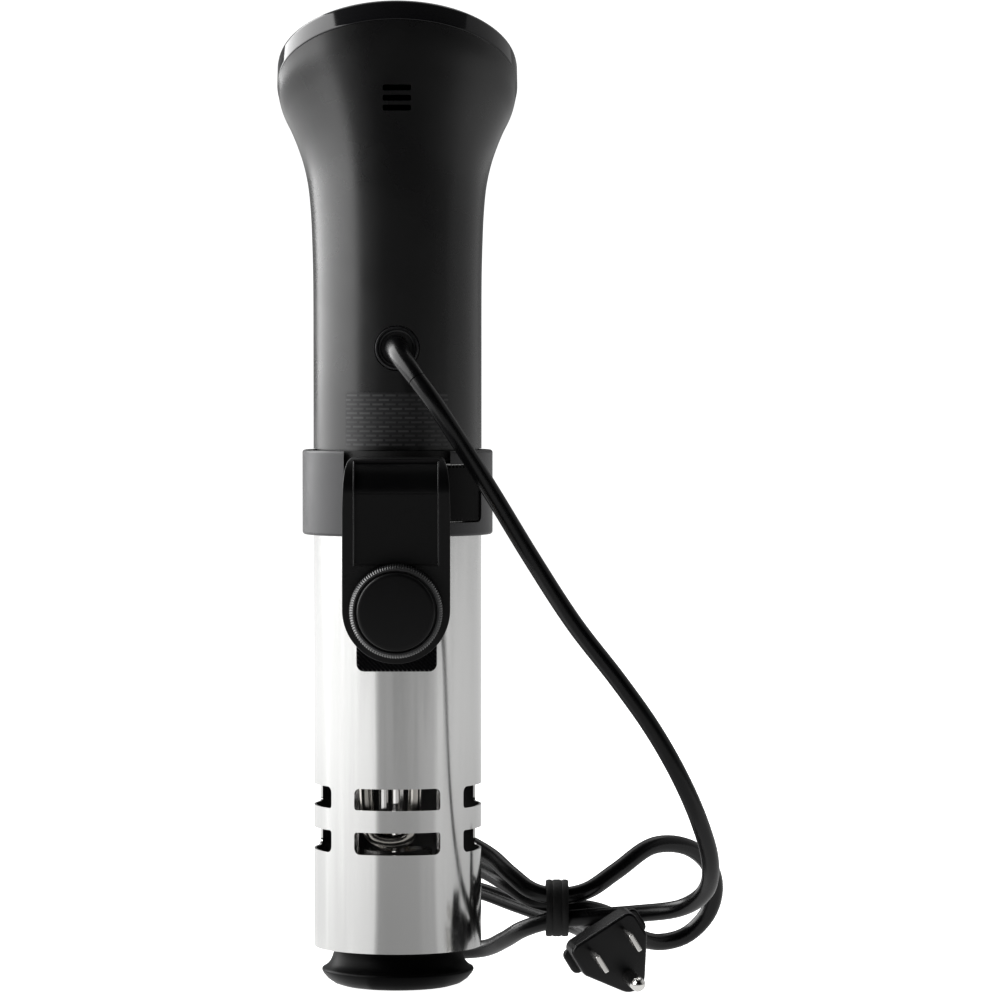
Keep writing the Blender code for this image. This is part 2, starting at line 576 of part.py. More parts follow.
def plug_outline():
    """A shield: wide across the blades and narrowing to a round end below the ground pin."""
    points = []
    for corner, radius, first, last in (((9.2, -3.4), 3.0, -90, 0), ((9.2, 2.6), 3.0, 0, 35),
                                        ((0.0, 11.9), 5.3, 35, 145), ((-9.2, 2.6), 3.0, 145, 180),
                                        ((-9.2, -3.4), 3.0, 180, 270)):
        for a in np.linspace(math.radians(first), math.radians(last), 5):
            points.append((corner[0] + radius * math.cos(a), corner[1] + radius * math.sin(a)))
    return points


def plug(frame):
    place = plug_matrix()
    body = finish("plug_body", prism(plug_outline(), 13.0, place, 0.6), BLACK, frame)
    wings = prism(rounded(29.0, 9.0, 2.0), 3.0, place @ Matrix.Translation((0, 0, 9.5)))
    grip = bmesh.new()
    bmesh.ops.create_cone(grip, cap_ends=True, segments=16, radius1=9.4, radius2=5.6,
                          depth=PLUG_LENGTH - 12)
    bmesh.ops.transform(grip, matrix=place @ Matrix.Translation(
        (0, PLUG_CORD_V, (PLUG_LENGTH + 12) / 2)), verts=grip.verts)
    combine(body, [wings, grip], "UNION")
    line = [place @ Vector((0, PLUG_CORD_V, w)) for w in
            np.linspace(PLUG_LENGTH + GAP, PLUG_RELIEF_LENGTH, 6)]
    tube("plug_strain_relief", line, 4.3, BLACK, frame, sides=2, taper=0.76)
    for name, u in (("line_blade", -6.35), ("neutral_blade", 6.35)):
        finish(name, placed(block((u - 0.75, -3.15, -14.5), (u + 0.75, 3.15, -GAP)), place), STEEL,
               frame)
    pin = turned([(0, -17.0), (1.4, -17.0), (2.4, -15.6), (2.4, -GAP), (0, -GAP)], steps=14,
                 centre=(0, 11.9, 0), closed=False)
    finish("ground_pin", placed(pin, place), STEEL, frame)


def placed(bm, matrix):
    bmesh.ops.transform(bm, matrix=matrix, verts=bm.verts)
    return bm


def cord(frame):
    relief = smooth_route(ROUTE, 3.5, GAP, RELIEF_LENGTH)
    tube("cord_strain_relief", relief, 4.1, BLACK, frame, taper=0.8)
    tube("cord", smooth_route(ROUTE, CORD_STEP, RELIEF_LENGTH + 3 * GAP), CORD_R, BLACK, frame)
    finish("cord_tie", turned([(TIE_R[0], -TIE_LENGTH / 2), (TIE_R[1], -TIE_LENGTH / 2),
                               (TIE_R[1], TIE_LENGTH / 2), (TIE_R[0], TIE_LENGTH / 2)],
                              centre=TIE_CENTRE, axis="X", steps=24), RUBBER, frame)


def build():
    clear_scene()
    body = axis_frame("body_axis", (0, 0, 0))
    rotor = axis_frame("rotor_axis", (0, 0, 0))
    skirt_frame = axis_frame("skirt_axis", (0, 0, SKIRT_BOTTOM))
    clamp_frame = axis_frame("clamp_axis", (0, 0, COLLAR[0]))
    knob_frame = axis_frame("knob_axis", (0, ARM_FACE_Y, KNOB_Z))
    pad_frame = axis_frame("pad_axis", (0, PAD_FACE_Y, KNOB_Z))
    button_frame = axis_frame("button_axis", (30 * math.sin(BUTTON_ANGLE),
                                              -30 * math.cos(BUTTON_ANGLE), sum(BUTTON_Z) / 2))
    upper_body(body)
    rim_bezel(body)
    face_plate("display_lens", 3.5, RIM_HEIGHT - 2.3, RIM_HEIGHT - 0.3, GLOSS, body)
    face_plate("display_board", 7.0, 3.0, 4.6, BOARD, body)
    foot_cap(body)
    pump(body, rotor)
    wet_end(body)
    heater(body)
    drive(body, rotor)
    electronics(body)
    grommet(body)
    rating_label(body)
    skirt(skirt_frame)
    clamp(clamp_frame)
    release_button(button_frame)
    knob(knob_frame)
    pad(pad_frame)
    cord(body)
    plug(body)


build()
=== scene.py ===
import math

import bmesh
import bpy
import numpy as np
from mathutils import Matrix, Vector


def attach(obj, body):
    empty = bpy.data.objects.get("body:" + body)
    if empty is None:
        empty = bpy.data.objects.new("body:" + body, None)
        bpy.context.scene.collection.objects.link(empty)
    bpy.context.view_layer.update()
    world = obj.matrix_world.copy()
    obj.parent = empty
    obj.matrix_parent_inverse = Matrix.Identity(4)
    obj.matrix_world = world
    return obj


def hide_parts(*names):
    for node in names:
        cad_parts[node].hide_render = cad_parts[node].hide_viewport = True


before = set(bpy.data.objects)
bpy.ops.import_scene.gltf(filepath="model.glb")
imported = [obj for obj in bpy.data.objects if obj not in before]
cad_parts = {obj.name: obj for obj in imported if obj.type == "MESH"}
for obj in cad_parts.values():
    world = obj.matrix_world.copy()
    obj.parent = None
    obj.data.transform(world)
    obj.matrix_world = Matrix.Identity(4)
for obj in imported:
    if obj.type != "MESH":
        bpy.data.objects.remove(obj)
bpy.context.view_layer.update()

# ---- Studio ----------------------------------------------------------------------------------
# A pale floor under white surroundings. A broad soft light stands on the left and a weaker one on the
# right; the room is dim behind the camera. The floor lights the object in brighter and darker sectors,
# like white cards laid round it, which only the object's reflections show.
MM = 0.001
CAMERA_AT = (0.0107, -1.561, 0.2065)
CAMERA_AIM = (0.0338, 0.0, 0.1603)
LENS = 170.3

scene = bpy.context.scene
camera_data = bpy.data.cameras.new("camera")
camera_data.lens = LENS
camera_data.sensor_width = 36.0
camera_data.clip_end = 50.0
camera = bpy.data.objects.new("camera", camera_data)
camera.location = CAMERA_AT
camera.rotation_euler = (Vector(CAMERA_AIM) - Vector(CAMERA_AT)).to_track_quat("-Z", "Y").to_euler()
scene.collection.objects.link(camera)
scene.camera = camera
scene.view_settings.view_transform = "Standard"
scene.view_settings.gamma = 0.86
scene.view_settings.exposure = 0.14


def soft_light(name, bearing, distance, width, height, centre_z, radiance):
    """A large area light facing the object; bearing is measured from -Y towards +X, in degrees."""
    data = bpy.data.lights.new(name, "AREA")
    data.shape = "RECTANGLE"
    data.size, data.size_y, data.energy = width, height, radiance * math.pi * width * height
    lamp = bpy.data.objects.new(name, data)
    a = math.radians(bearing)
    lamp.location = (distance * math.sin(a), -distance * math.cos(a), centre_z)
    aim = Vector((0, 0, 0.16)) - Vector(lamp.location)
    lamp.rotation_euler = aim.to_track_quat("-Z", "Y").to_euler()
    scene.collection.objects.link(lamp)


soft_light("left_softbox", -98, 1.3, 2.9, 1.5, 0.80, 4.5)
soft_light("right_softbox", 108, 1.3, 2.2, 1.4, 0.75, 0.32)
soft_light("overhead_softbox", 180, 0.9, 1.4, 0.9, 1.5, 1.2)

ROOM_LIGHT = (0.004, 0.34)     # behind the camera, and behind the object
world = bpy.data.worlds.new("studio_room")
scene.world = world
world.use_nodes = True
room = world.node_tree
room.nodes.clear()
room_out = room.nodes.new("ShaderNodeOutputWorld")
room_seen = room.nodes.new("ShaderNodeBackground")
room_seen.inputs["Color"].default_value = (1, 1, 1, 1)
room_light = room.nodes.new("ShaderNodeBackground")
room_mix = room.nodes.new("ShaderNodeMixShader")
room_path = room.nodes.new("ShaderNodeLightPath")
room_coord = room.nodes.new("ShaderNodeTexCoord")
room_split = room.nodes.new("ShaderNodeSeparateXYZ")
room_ramp = room.nodes.new("ShaderNodeMapRange")
room_ramp.inputs["From Min"].default_value = -0.30
room_ramp.inputs["From Max"].default_value = 0.60
room_ramp.inputs["To Min"].default_value, room_ramp.inputs["To Max"].default_value = ROOM_LIGHT
room.links.new(room_coord.outputs["Generated"], room_split.inputs[0])
room.links.new(room_split.outputs["Y"], room_ramp.inputs["Value"])
room.links.new(room_ramp.outputs["Result"], room_light.inputs["Strength"])
room.links.new(room_path.outputs["Is Camera Ray"], room_mix.inputs[0])
room.links.new(room_light.outputs[0], room_mix.inputs[1])
room.links.new(room_seen.outputs[0], room_mix.inputs[2])
room.links.new(room_mix.outputs[0], room_out.inputs[0])

FLOOR_DROP = 0.0002
FLOOR_RADIUS = 6.0
FLOOR_GLOW = 0.93
floor_bm = bmesh.new()
bmesh.ops.create_circle(floor_bm, cap_ends=True, segments=96, radius=FLOOR_RADIUS,
                        matrix=Matrix.Translation((0, 0, -FLOOR_DROP)))
floor_mesh = bpy.data.meshes.new("studio_floor")
floor_bm.to_mesh(floor_mesh)
floor_bm.free()
floor = bpy.data.objects.new("studio_floor", floor_mesh)
scene.collection.objects.link(floor)
floor_look = bpy.data.materials.new("pale_floor")
floor_look.use_nodes = True
floor_nodes, floor_links = floor_look.node_tree.nodes, floor_look.node_tree.links
floor_shader = floor_nodes["Principled BSDF"]
floor_shader.inputs["Base Color"].default_value = (0.6, 0.6, 0.6, 1)
floor_shader.inputs["Roughness"].default_value = 0.9
floor_shader.inputs["Specular IOR Level"].default_value = 0.0
floor_shader.inputs["Emission Color"].default_value = (1, 1, 1, 1)
floor_shader.inputs["Emission Strength"].default_value = FLOOR_GLOW
card_light = floor_nodes.new("ShaderNodeEmission")
card_place = floor_nodes.new("ShaderNodeTexCoord")
card_split = floor_nodes.new("ShaderNodeSeparateXYZ")
card_turn = floor_nodes.new("ShaderNodeMath")
card_turn.operation = "ARCTAN2"
card_flip = floor_nodes.new("ShaderNodeMath")
card_flip.operation = "MULTIPLY"
card_flip.inputs[1].default_value = -1.0
card_ramp = floor_nodes.new("ShaderNodeValToRGB")
card_fit = floor_nodes.new("ShaderNodeMapRange")
card_fit.inputs["From Min"].default_value = -math.pi
card_fit.inputs["From Max"].default_value = math.pi
CARDS = [(-180, 0.8), (-150, 1.4), (-110, 1.85), (-30, 1.6), (-26, 0.68), (28, 0.72), (32, 0.80),
         (50, 0.84), (53, 1.15), (110, 1.0), (180, 0.7)]
CARD_TOP = 2.0
CARD_NEAR = 0.78               # share of its light that a card gives close to the object
CARD_FADE = (0.2, 1.1)         # metres from the object between which it rises to all of it
ramp = card_ramp.color_ramp
while len(ramp.elements) < len(CARDS):
    ramp.elements.new(0.5)
for stop, (bearing, level) in zip(ramp.elements, CARDS):
    stop.position = (bearing + 180) / 360
    stop.color = (*[level / CARD_TOP] * 3, 1)
card_reach = floor_nodes.new("ShaderNodeVectorMath")
card_reach.operation = "LENGTH"
card_fade = floor_nodes.new("ShaderNodeMapRange")
card_fade.inputs["From Min"].default_value, card_fade.inputs["From Max"].default_value = CARD_FADE
card_fade.inputs["To Min"].default_value = CARD_NEAR * CARD_TOP
card_fade.inputs["To Max"].default_value = CARD_TOP
floor_links.new(card_place.outputs["Object"], card_reach.inputs[0])
floor_links.new(card_reach.outputs["Value"], card_fade.inputs["Value"])
floor_links.new(card_fade.outputs["Result"], card_light.inputs["Strength"])
floor_mix = floor_nodes.new("ShaderNodeMixShader")
floor_path = floor_nodes.new("ShaderNodeLightPath")
floor_links.new(card_place.outputs["Object"], card_split.inputs[0])
floor_links.new(card_split.outputs["Y"], card_flip.inputs[0])
floor_links.new(card_split.outputs["X"], card_turn.inputs[0])
floor_links.new(card_flip.outputs[0], card_turn.inputs[1])
floor_links.new(card_turn.outputs[0], card_fit.inputs["Value"])
floor_links.new(card_fit.outputs["Result"], card_ramp.inputs["Fac"])
floor_links.new(card_ramp.outputs["Color"], card_light.inputs["Color"])
floor_links.new(floor_path.outputs["Is Camera Ray"], floor_mix.inputs[0])
floor_links.new(card_light.outputs[0], floor_mix.inputs[1])
floor_links.new(floor_shader.outputs[0], floor_mix.inputs[2])
floor_links.new(floor_mix.outputs[0], floor_nodes["Material Output"].inputs["Surface"])
floor.data.materials.append(floor_look)

# ---- Mains lead ------------------------------------------------------------------------------
# A round three-core lead in black vinyl. It comes out of the back of the head, falls to the right,
# and its far end is folded into loops held by a tie, with the plug tucked under them.
CORD_R = 2.9
RELIEF_LENGTH = 25.0
ROUTE = [
    (0.0, -27.9, 210.3), (0.1, -35.4, 209.9), (1.6, -42.4, 207.2), (5.6, -47.8, 201.6),
    (11.9, -51.0, 193.0), (21.7, -50.0, 178.0), (31.1, -48.3, 163.0), (43.5, -46.8, 142.6),
    (57.0, -46.0, 121.8), (71.0, -45.6, 103.7), (81.8, -45.3, 88.5), (90.4, -43.9, 73.6),
    (97.3, -39.2, 58.3), (101.6, -29.6, 44.1), (101.1, -16.0, 32.8), (93.5, -2.3, 25.4),
    (78.0, 5.5, 22.5), (62.0, 8.5, 21.0), (50.5, 11.5, 19.5), (42.0, 19.0, 16.0),
    (36.0, 31.0, 11.0), (29.0, 46.5, 6.0), (17.0, 57.0, 4.0), (4.0, 62.0, 4.0),
    (-7.0, 62.0, 7.5), (-13.0, 59.0, 16.5), (-12.0, 54.5, 27.5), (-4.5, 50.0, 35.0),
    (6.5, 47.0, 37.5), (18.5, 42.5, 37.0), (29.0, 34.0, 34.0), (37.5, 23.5, 30.0),
    (45.0, 17.5, 26.0), (54.0, 15.0, 24.0), (63.0, 17.0, 23.0), (70.5, 24.5, 20.0),
    (76.0, 34.5, 15.0), (81.5, 44.0, 10.0), (89.5, 51.0, 7.5), (98.5, 54.5, 9.5),
    (105.5, 54.0, 16.5), (108.0, 50.0, 26.0), (105.0, 43.5, 35.5), (97.0, 35.0, 42.0),
    (85.5, 26.5, 43.0), (73.0, 17.5, 35.5), (62.5, 11.0, 29.5), (53.5, 10.0, 28.0),
    (45.0, 12.0, 29.5), (37.5, 18.0, 34.5), (30.5, 26.0, 40.0), (20.0, 32.0, 45.0),
    (6.0, 34.5, 48.5), (-7.0, 37.5, 49.5), (-17.0, 44.5, 45.5), (-20.5, 54.5, 38.0),
    (-14.5, 64.0, 30.0), (-2.0, 68.5, 26.0), (12.0, 67.5, 25.0), (26.0, 61.0, 24.5),
    (40.0, 52.5, 20.5), (53.0, 41.5, 17.0), (61.0, 30.5, 15.0), (64.65, 19.15, 14.21)]


def smooth_route(points, spacing, start=0.0, end=None):
    """Points a step apart along a smooth (centripetal) curve through the route's own points, from one
    distance along it to another."""
    route = [Vector(p) for p in points]
    route = [2 * route[0] - route[1]] + route + [2 * route[-1] - route[-2]]
    dense = []
    for before, here, there, after in zip(route, route[1:], route[2:], route[3:]):
        knots = [0.0]
        for a, b in ((before, here), (here, there), (there, after)):
            knots.append(knots[-1] + math.sqrt((b - a).length))
        for t in np.linspace(knots[1], knots[2], 12, endpoint=False):
            a1 = before.lerp(here, (t - knots[0]) / (knots[1] - knots[0]))
            a2 = here.lerp(there, (t - knots[1]) / (knots[2] - knots[1]))
            a3 = there.lerp(after, (t - knots[2]) / (knots[3] - knots[2]))
            b1 = a1.lerp(a2, (t - knots[0]) / (knots[2] - knots[0]))
            b2 = a2.lerp(a3, (t - knots[1]) / (knots[3] - knots[1]))
            dense.append(b1.lerp(b2, (t - knots[1]) / (knots[2] - knots[1])))
    dense.append(route[-2])
    dense = np.array(dense)
    along = np.concatenate([[0], np.cumsum(np.linalg.norm(np.diff(dense, axis=0), axis=1))])
    end = along[-1] if end is None else end
    stops = np.linspace(start, end, max(2, round((end - start) / spacing) + 1))
    return np.column_stack([np.interp(stops, along, dense[:, k]) for k in range(3)])


def surface(name, colour, roughness, metallic=0.0, tone=0.12, spread=0.08, grain=0.03, grain_scale=2400.0,
            stretch=(1, 1, 1), sockets=()):
    """A finish on Object coordinates: the colour drifts by tone, the roughness by spread, and a fine
    grain, in millimetres deep, breaks the highlights."""
    made = bpy.data.materials.new(name)
    made.use_nodes = True
    nodes, links = made.node_tree.nodes, made.node_tree.links
    shader = nodes["Principled BSDF"]
    shader.inputs["Metallic"].default_value = metallic
    for socket, value in sockets:
        shader.inputs[socket].default_value = value
    where = nodes.new("ShaderNodeTexCoord")
    fit = nodes.new("ShaderNodeMapping")
    fit.inputs["Scale"].default_value = stretch
    links.new(where.outputs["Object"], fit.inputs["Vector"])
    drift = nodes.new("ShaderNodeTexNoise")
    drift.inputs["Scale"].default_value = 42.0
    drift.inputs["Detail"].default_value = 4.0
    links.new(fit.outputs[0], drift.inputs["Vector"])
    tint = nodes.new("ShaderNodeMix")
    tint.data_type = "RGBA"
    tint.inputs["A"].default_value = (*[c * (1 - tone) for c in colour], 1)
    tint.inputs["B"].default_value = (*[min(1, c * (1 + tone)) for c in colour], 1)
    links.new(drift.outputs["Fac"], tint.inputs["Factor"])
    links.new(tint.outputs["Result"], shader.inputs["Base Color"])
    polish = nodes.new("ShaderNodeMapRange")
    polish.interpolation_type = "SMOOTHERSTEP"
    polish.inputs["From Min"].default_value = 0.3
    polish.inputs["From Max"].default_value = 0.7
    polish.inputs["To Min"].default_value = max(0.02, roughness - spread / 2)
    polish.inputs["To Max"].default_value = roughness + spread / 2
    links.new(drift.outputs["Fac"], polish.inputs["Value"])
    links.new(polish.outputs["Result"], shader.inputs["Roughness"])
    if grain:
        speckle = nodes.new("ShaderNodeTexNoise")
        speckle.inputs["Scale"].default_value = grain_scale
        speckle.inputs["Detail"].default_value = 2.0
        links.new(fit.outputs[0], speckle.inputs["Vector"])
        relief = nodes.new("ShaderNodeBump")
        relief.inputs["Distance"].default_value = grain * MM
        relief.inputs["Strength"].default_value = 1.0
        links.new(speckle.outputs["Fac"], relief.inputs["Height"])
        links.new(relief.outputs[0], shader.inputs["Normal"])
    return made


def lead_curve(name, points, radius, look, taper=1.0, rings=5):
    """A round tube as a curve on the given points, ending at taper times its starting radius."""
    data = bpy.data.curves.new(name, "CURVE")
    data.dimensions = "3D"
    data.bevel_depth = radius * MM
    data.bevel_resolution = rings
    data.use_fill_caps = True
    line = data.splines.new("POLY")
    line.points.add(len(points) - 1)
    for index, (spot, place) in enumerate(zip(line.points, points)):
        spot.co = (*[c * MM for c in place], 1)
        spot.radius = 1 + (taper - 1) * index / (len(points) - 1)
    made = bpy.data.objects.new(name, data)
    scene.collection.objects.link(made)
    data.materials.append(look)
    return made


vinyl = surface("cord_vinyl", (0.0035, 0.0035, 0.004), 0.27, tone=0.2, grain=0.02, grain_scale=1500,
                sockets=[("Specular IOR Level", 0.4)])
cord_points = smooth_route(ROUTE, 2.2, RELIEF_LENGTH + 0.9)
lead = lead_curve("mains_lead", cord_points, CORD_R, vinyl)
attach(lead, "body")
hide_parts("cord")


def piece(name, bm, look, body, replaced=(), sharp=35, radial=False):
    """Turn a bmesh in millimetres into an object at the origin with smooth shading, its finish and
    the body that it rides on. With radial, the shading of its walls fans out from the Z axis."""
    bmesh.ops.remove_doubles(bm, verts=bm.verts, dist=1e-4)
    bmesh.ops.recalc_face_normals(bm, faces=bm.faces)
    bmesh.ops.scale(bm, vec=(MM, MM, MM), verts=bm.verts)
    data = bpy.data.meshes.new(name)
    bm.to_mesh(data)
    bm.free()
    data.shade_smooth()
    data.set_sharp_from_angle(angle=math.radians(sharp))
    if radial:
        fan_normals(data)
    made = bpy.data.objects.new(name, data)
    scene.collection.objects.link(made)
    data.materials.append(look)
    if not radial:
        shading = made.modifiers.new("flat_faces_stay_flat", "WEIGHTED_NORMAL")
        shading.keep_sharp = True
    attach(made, body)
    if replaced:
        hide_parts(*replaced)
    return made


def fan_normals(data):
    """Shade the faces that stand round the Z axis by their true direction from it."""
    normals = []
    for face in data.polygons:
        for loop in face.loop_indices:
            spot = data.vertices[data.loops[loop].vertex_index].co
            out = Vector((spot.x, spot.y, 0)).normalized()
            side = face.normal.dot(out)
            normals.append(out * math.copysign(1, side) if abs(side) > 0.9 else face.normal)
    data.normals_split_custom_set([n[:] for n in normals])


def spun(profile, centre=(0, 0, 0), axis="Z", steps=96, closed=True):
    """Spin (radius, height) points about an axis through centre; closed=False when both ends of the
    profile are on the axis."""
    bm = bmesh.new()
    verts = [bm.verts.new((r, 0, h)) for r, h in profile]
    edges = [bm.edges.new(pair) for pair in zip(verts, verts[1:])]
    if closed:
        edges.append(bm.edges.new((verts[-1], verts[0])))
    bmesh.ops.spin(bm, geom=verts + edges, cent=(0, 0, 0), axis=(0, 0, 1), dvec=(0, 0, 0),
                   angle=math.tau, steps=steps, use_merge=True, use_duplicate=False)
    bmesh.ops.remove_doubles(bm, verts=bm.verts, dist=1e-4)
    turn = {"Z": Matrix(), "Y": Matrix.Rotation(math.radians(-90), 4, "X"),
            "X": Matrix.Rotation(math.radians(90), 4, "Y")}[axis]
    bmesh.ops.transform(bm, matrix=Matrix.Translation(centre) @ turn, verts=bm.verts)
    bmesh.ops.recalc_face_normals(bm, faces=bm.faces)
    return bm


def ease(bm, offset, segments=3, angle=35):
    """Round off every edge that is sharper than an angle."""
    sharp = [e for e in bm.edges if len(e.link_faces) == 2 and e.calc_face_angle() > math.radians(angle)]
    bmesh.ops.bevel(bm, geom=sharp, offset=offset, affect="EDGES", segments=segments, profile=0.5,
                    material=-1, clamp_overlap=True)
    return bm


# The lead's tie is a black rubber band moulded with three ridges, slipped over the folded strands.
TIE_CENTRE = (53.0, 12.0, 23.8)
TIE_PROFILE = [(8.7, -3.7), (9.2, -3.7), (9.5, -3.1), (9.5, -2.1), (9.2, -1.6), (9.5, -1.1),
               (9.5, -0.1), (9.5, 0.9), (9.2, 1.5), (9.5, 2.0), (9.5, 3.1), (9.2, 3.7), (8.7, 3.7)]
rubber = surface("soft_rubber", (0.008, 0.008, 0.008), 0.62, tone=0.25, spread=0.16, grain=0.06,
                 grain_scale=1800)
tie = piece("lead_tie", spun(TIE_PROFILE, centre=TIE_CENTRE, axis="X", steps=64), rubber, "body",
            ["cord_tie"])
relief_sleeve = lead_curve("lead_relief", smooth_route(ROUTE, 1.2, 0.3, RELIEF_LENGTH + 0.8), 4.1,
                           vinyl, taper=0.72)
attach(relief_sleeve, "body")
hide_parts("cord_strain_relief")

# ---- Plug ------------------------------------------------------------------------------------
# A three-pin plug moulded onto the lead: a flat-sided face block, finger wings behind it, a ribbed
# grip and a tapered relief. Two nickel-plated blades and a round ground pin stand out of its face.
PLUG_FACE = Vector((69.4, -28.0, 15.9))
PLUG_BACK = Vector((-0.15, 0.987, 0.045)).normalized()
PLUG_ROLL = math.radians(32)
PLUG_CORD_V = 4.5
PLUG_LENGTH = 30.0
PLUG_RELIEF_LENGTH = 46.6


def plug_matrix():
    across = PLUG_BACK.cross(Vector((0, 0, 1))).normalized() * -1
    up = PLUG_BACK.cross(across)
    if up.z < 0:
        up = -up
    if across.x < 0:
        across = -across
    u = math.cos(PLUG_ROLL) * across + math.sin(PLUG_ROLL) * up
    v = math.sin(PLUG_ROLL) * across - math.cos(PLUG_ROLL) * up
    return Matrix(((u.x, v.x, PLUG_BACK.x, PLUG_FACE.x), (u.y, v.y, PLUG_BACK.y, PLUG_FACE.y),
                   (u.z, v.z, PLUG_BACK.z, PLUG_FACE.z), (0, 0, 0, 1)))


def prism(outline, depth, matrix=Matrix(), edge=0.0, segments=3):
    """Extrude an outline in the XY plane by depth along +Z, round its end edges, then place it."""
    bm = bmesh.new()
    face = bm.faces.new([bm.verts.new((x, y, 0)) for x, y in outline])
    up = bmesh.ops.extrude_face_region(bm, geom=[face])
    top = [item for item in up["geom"] if isinstance(item, bmesh.types.BMVert)]
    bmesh.ops.translate(bm, vec=(0, 0, depth), verts=top)
    if edge:
        ends = [e for e in bm.edges if abs(e.verts[0].co.z - e.verts[1].co.z) < 1e-6]
        bmesh.ops.bevel(bm, geom=ends, offset=edge, affect="EDGES", segments=segments, profile=0.5,
                        material=-1)
    bmesh.ops.transform(bm, matrix=matrix, verts=bm.verts)
    bmesh.ops.recalc_face_normals(bm, faces=bm.faces)
    return bm


def rounded(width, height, radii, corner_steps=6):
    """A rounded rectangle about its centre; radii run right top, left top, left bottom, right bottom."""
    radii = radii if isinstance(radii, tuple) else (radii,) * 4
    points = []
    for quarter, (sx, sy) in enumerate([(1, 1), (-1, 1), (-1, -1), (1, -1)]):
        r = radii[quarter]
        cx, cy = sx * (width / 2 - r), sy * (height / 2 - r)
        for step in range(corner_steps + 1):
            a = math.radians(90) * (quarter + step / corner_steps)
            points.append((cx + r * math.cos(a), cy + r * math.sin(a)))
    return points


def plug_outline():
    """A shield: wide across the blades and narrowing to a round end below the ground pin."""
    points = []
    for corner, radius, first, last in (((9.2, -3.4), 3.0, -90, 0), ((9.2, 2.6), 3.0, 0, 35),
                                        ((0.0, 11.9), 5.3, 35, 145), ((-9.2, 2.6), 3.0, 145, 180),
                                        ((-9.2, -3.4), 3.0, 180, 270)):
        for a in np.linspace(math.radians(first), math.radians(last), 9):
            points.append((corner[0] + radius * math.cos(a), corner[1] + radius * math.sin(a)))
    return points


def carved(bm, tools, operation="DIFFERENCE"):
    """Cut other bmeshes out of a bmesh, or join them to it, with exact booleans."""
    stand_ins = []
    for source in [bm, *tools]:
        data = bpy.data.meshes.new("carving")
        source.to_mesh(data)
        source.free()
        stand_ins.append(bpy.data.objects.new("carving", data))
        scene.collection.objects.link(stand_ins[-1])
    target = stand_ins[0]
    for tool in stand_ins[1:]:
        step = target.modifiers.new("cut", "BOOLEAN")
        step.operation = operation
        step.object = tool
        step.solver = "EXACT"
    bpy.context.view_layer.update()
    result = bmesh.new()
    result.from_mesh(target.evaluated_get(bpy.context.evaluated_depsgraph_get()).to_mesh())
    for used in stand_ins:
        data = used.data
        bpy.data.objects.remove(used, do_unlink=True)
        bpy.data.meshes.remove(data)
    return result


def block(low, high, edge=0.0, segments=3):
    low, high = Vector(low), Vector(high)
    bm = bmesh.new()
    bmesh.ops.create_cube(bm, size=1, matrix=Matrix.Translation((low + high) / 2)
                          @ Matrix.Diagonal((*(high - low), 1)))
    if edge:
        bmesh.ops.bevel(bm, geom=bm.edges[:], offset=edge, affect="EDGES", segments=segments,
                        profile=0.5, material=-1)
    return bm


def placed(bm, matrix):
    bmesh.ops.transform(bm, matrix=matrix, verts=bm.verts)
    return bm


plug_place = plug_matrix()
face_block = prism(plug_outline(), 12.8, plug_place, 1.0)
wings = prism(rounded(28.6, 8.8, 2.2), 2.8, plug_place @ Matrix.Translation((0, 0, 9.6)), 0.8)
grip_profile = [(0, 11.5), (9.2, 11.5), (9.0, 14.0)]
for rib in range(5):
    w = 15.4 + 2.9 * rib
    grip_profile += [(8.9 - 0.7 * rib, w), (8.2 - 0.7 * rib, w + 0.5), (8.2 - 0.7 * rib, w + 1.3),
                     (8.6 - 0.7 * rib, w + 1.8)]
grip_profile += [(5.4, 29.6), (5.0, PLUG_LENGTH), (0, PLUG_LENGTH)]
grip = placed(spun(grip_profile, closed=False, steps=48), plug_place @ Matrix.Translation(
    (0, PLUG_CORD_V, 0)))
plug_body = piece("plug_moulding", carved(face_block, [wings, grip], "UNION"), vinyl, "body",
                  ["plug_body"], sharp=40)
relief_profile = [(0, PLUG_LENGTH + 0.3), (4.3, PLUG_LENGTH + 0.3)]
for ring_count in range(5):
    w = PLUG_LENGTH + 1.6 + 2.9 * ring_count
    r = 4.25 - 0.2 * ring_count
    relief_profile += [(r, w), (r - 0.6, w + 0.3), (r - 0.6, w + 1.1), (r - 0.1, w + 1.4)]
relief_profile += [(3.3, PLUG_RELIEF_LENGTH - 0.6), (3.1, PLUG_RELIEF_LENGTH), (0, PLUG_RELIEF_LENGTH)]
plug_relief = piece("plug_relief", placed(spun(relief_profile, closed=False, steps=40), plug_place
                                          @ Matrix.Translation((0, PLUG_CORD_V, 0))),
                    vinyl, "body", ["plug_strain_relief"])
nickel = surface("pin_nickel", (0.72, 0.71, 0.69), 0.2, metallic=1.0, tone=0.08, grain=0.015,
                 grain_scale=1400, stretch=(1, 1, 6))
for name, u in (("line_blade", -6.35), ("neutral_blade", 6.35)):
    blade = block((u - 0.75, -3.15, -14.5), (u + 0.75, 3.15, -0.3), 0.35)
    hole = spun([(0, -3), (1.55, -3), (1.55, 3), (0, 3)], centre=(u, 0, -11.2), axis="X", steps=24,
                closed=False)
    piece(f"plug_{name}", placed(carved(blade, [hole]), plug_place), nickel, "body",
                           [name])
pin_profile = [(0, -17.0), (0.7, -16.85), (1.4, -16.4), (2.0, -15.6), (2.35, -14.6), (2.4, -13.6),
               (2.4, -0.3), (0, -0.3)]
piece("plug_ground_pin", placed(spun(pin_profile, centre=(0, 11.9, 0), steps=32,
                                                      closed=False), plug_place), nickel, "body",
                       ["ground_pin"])

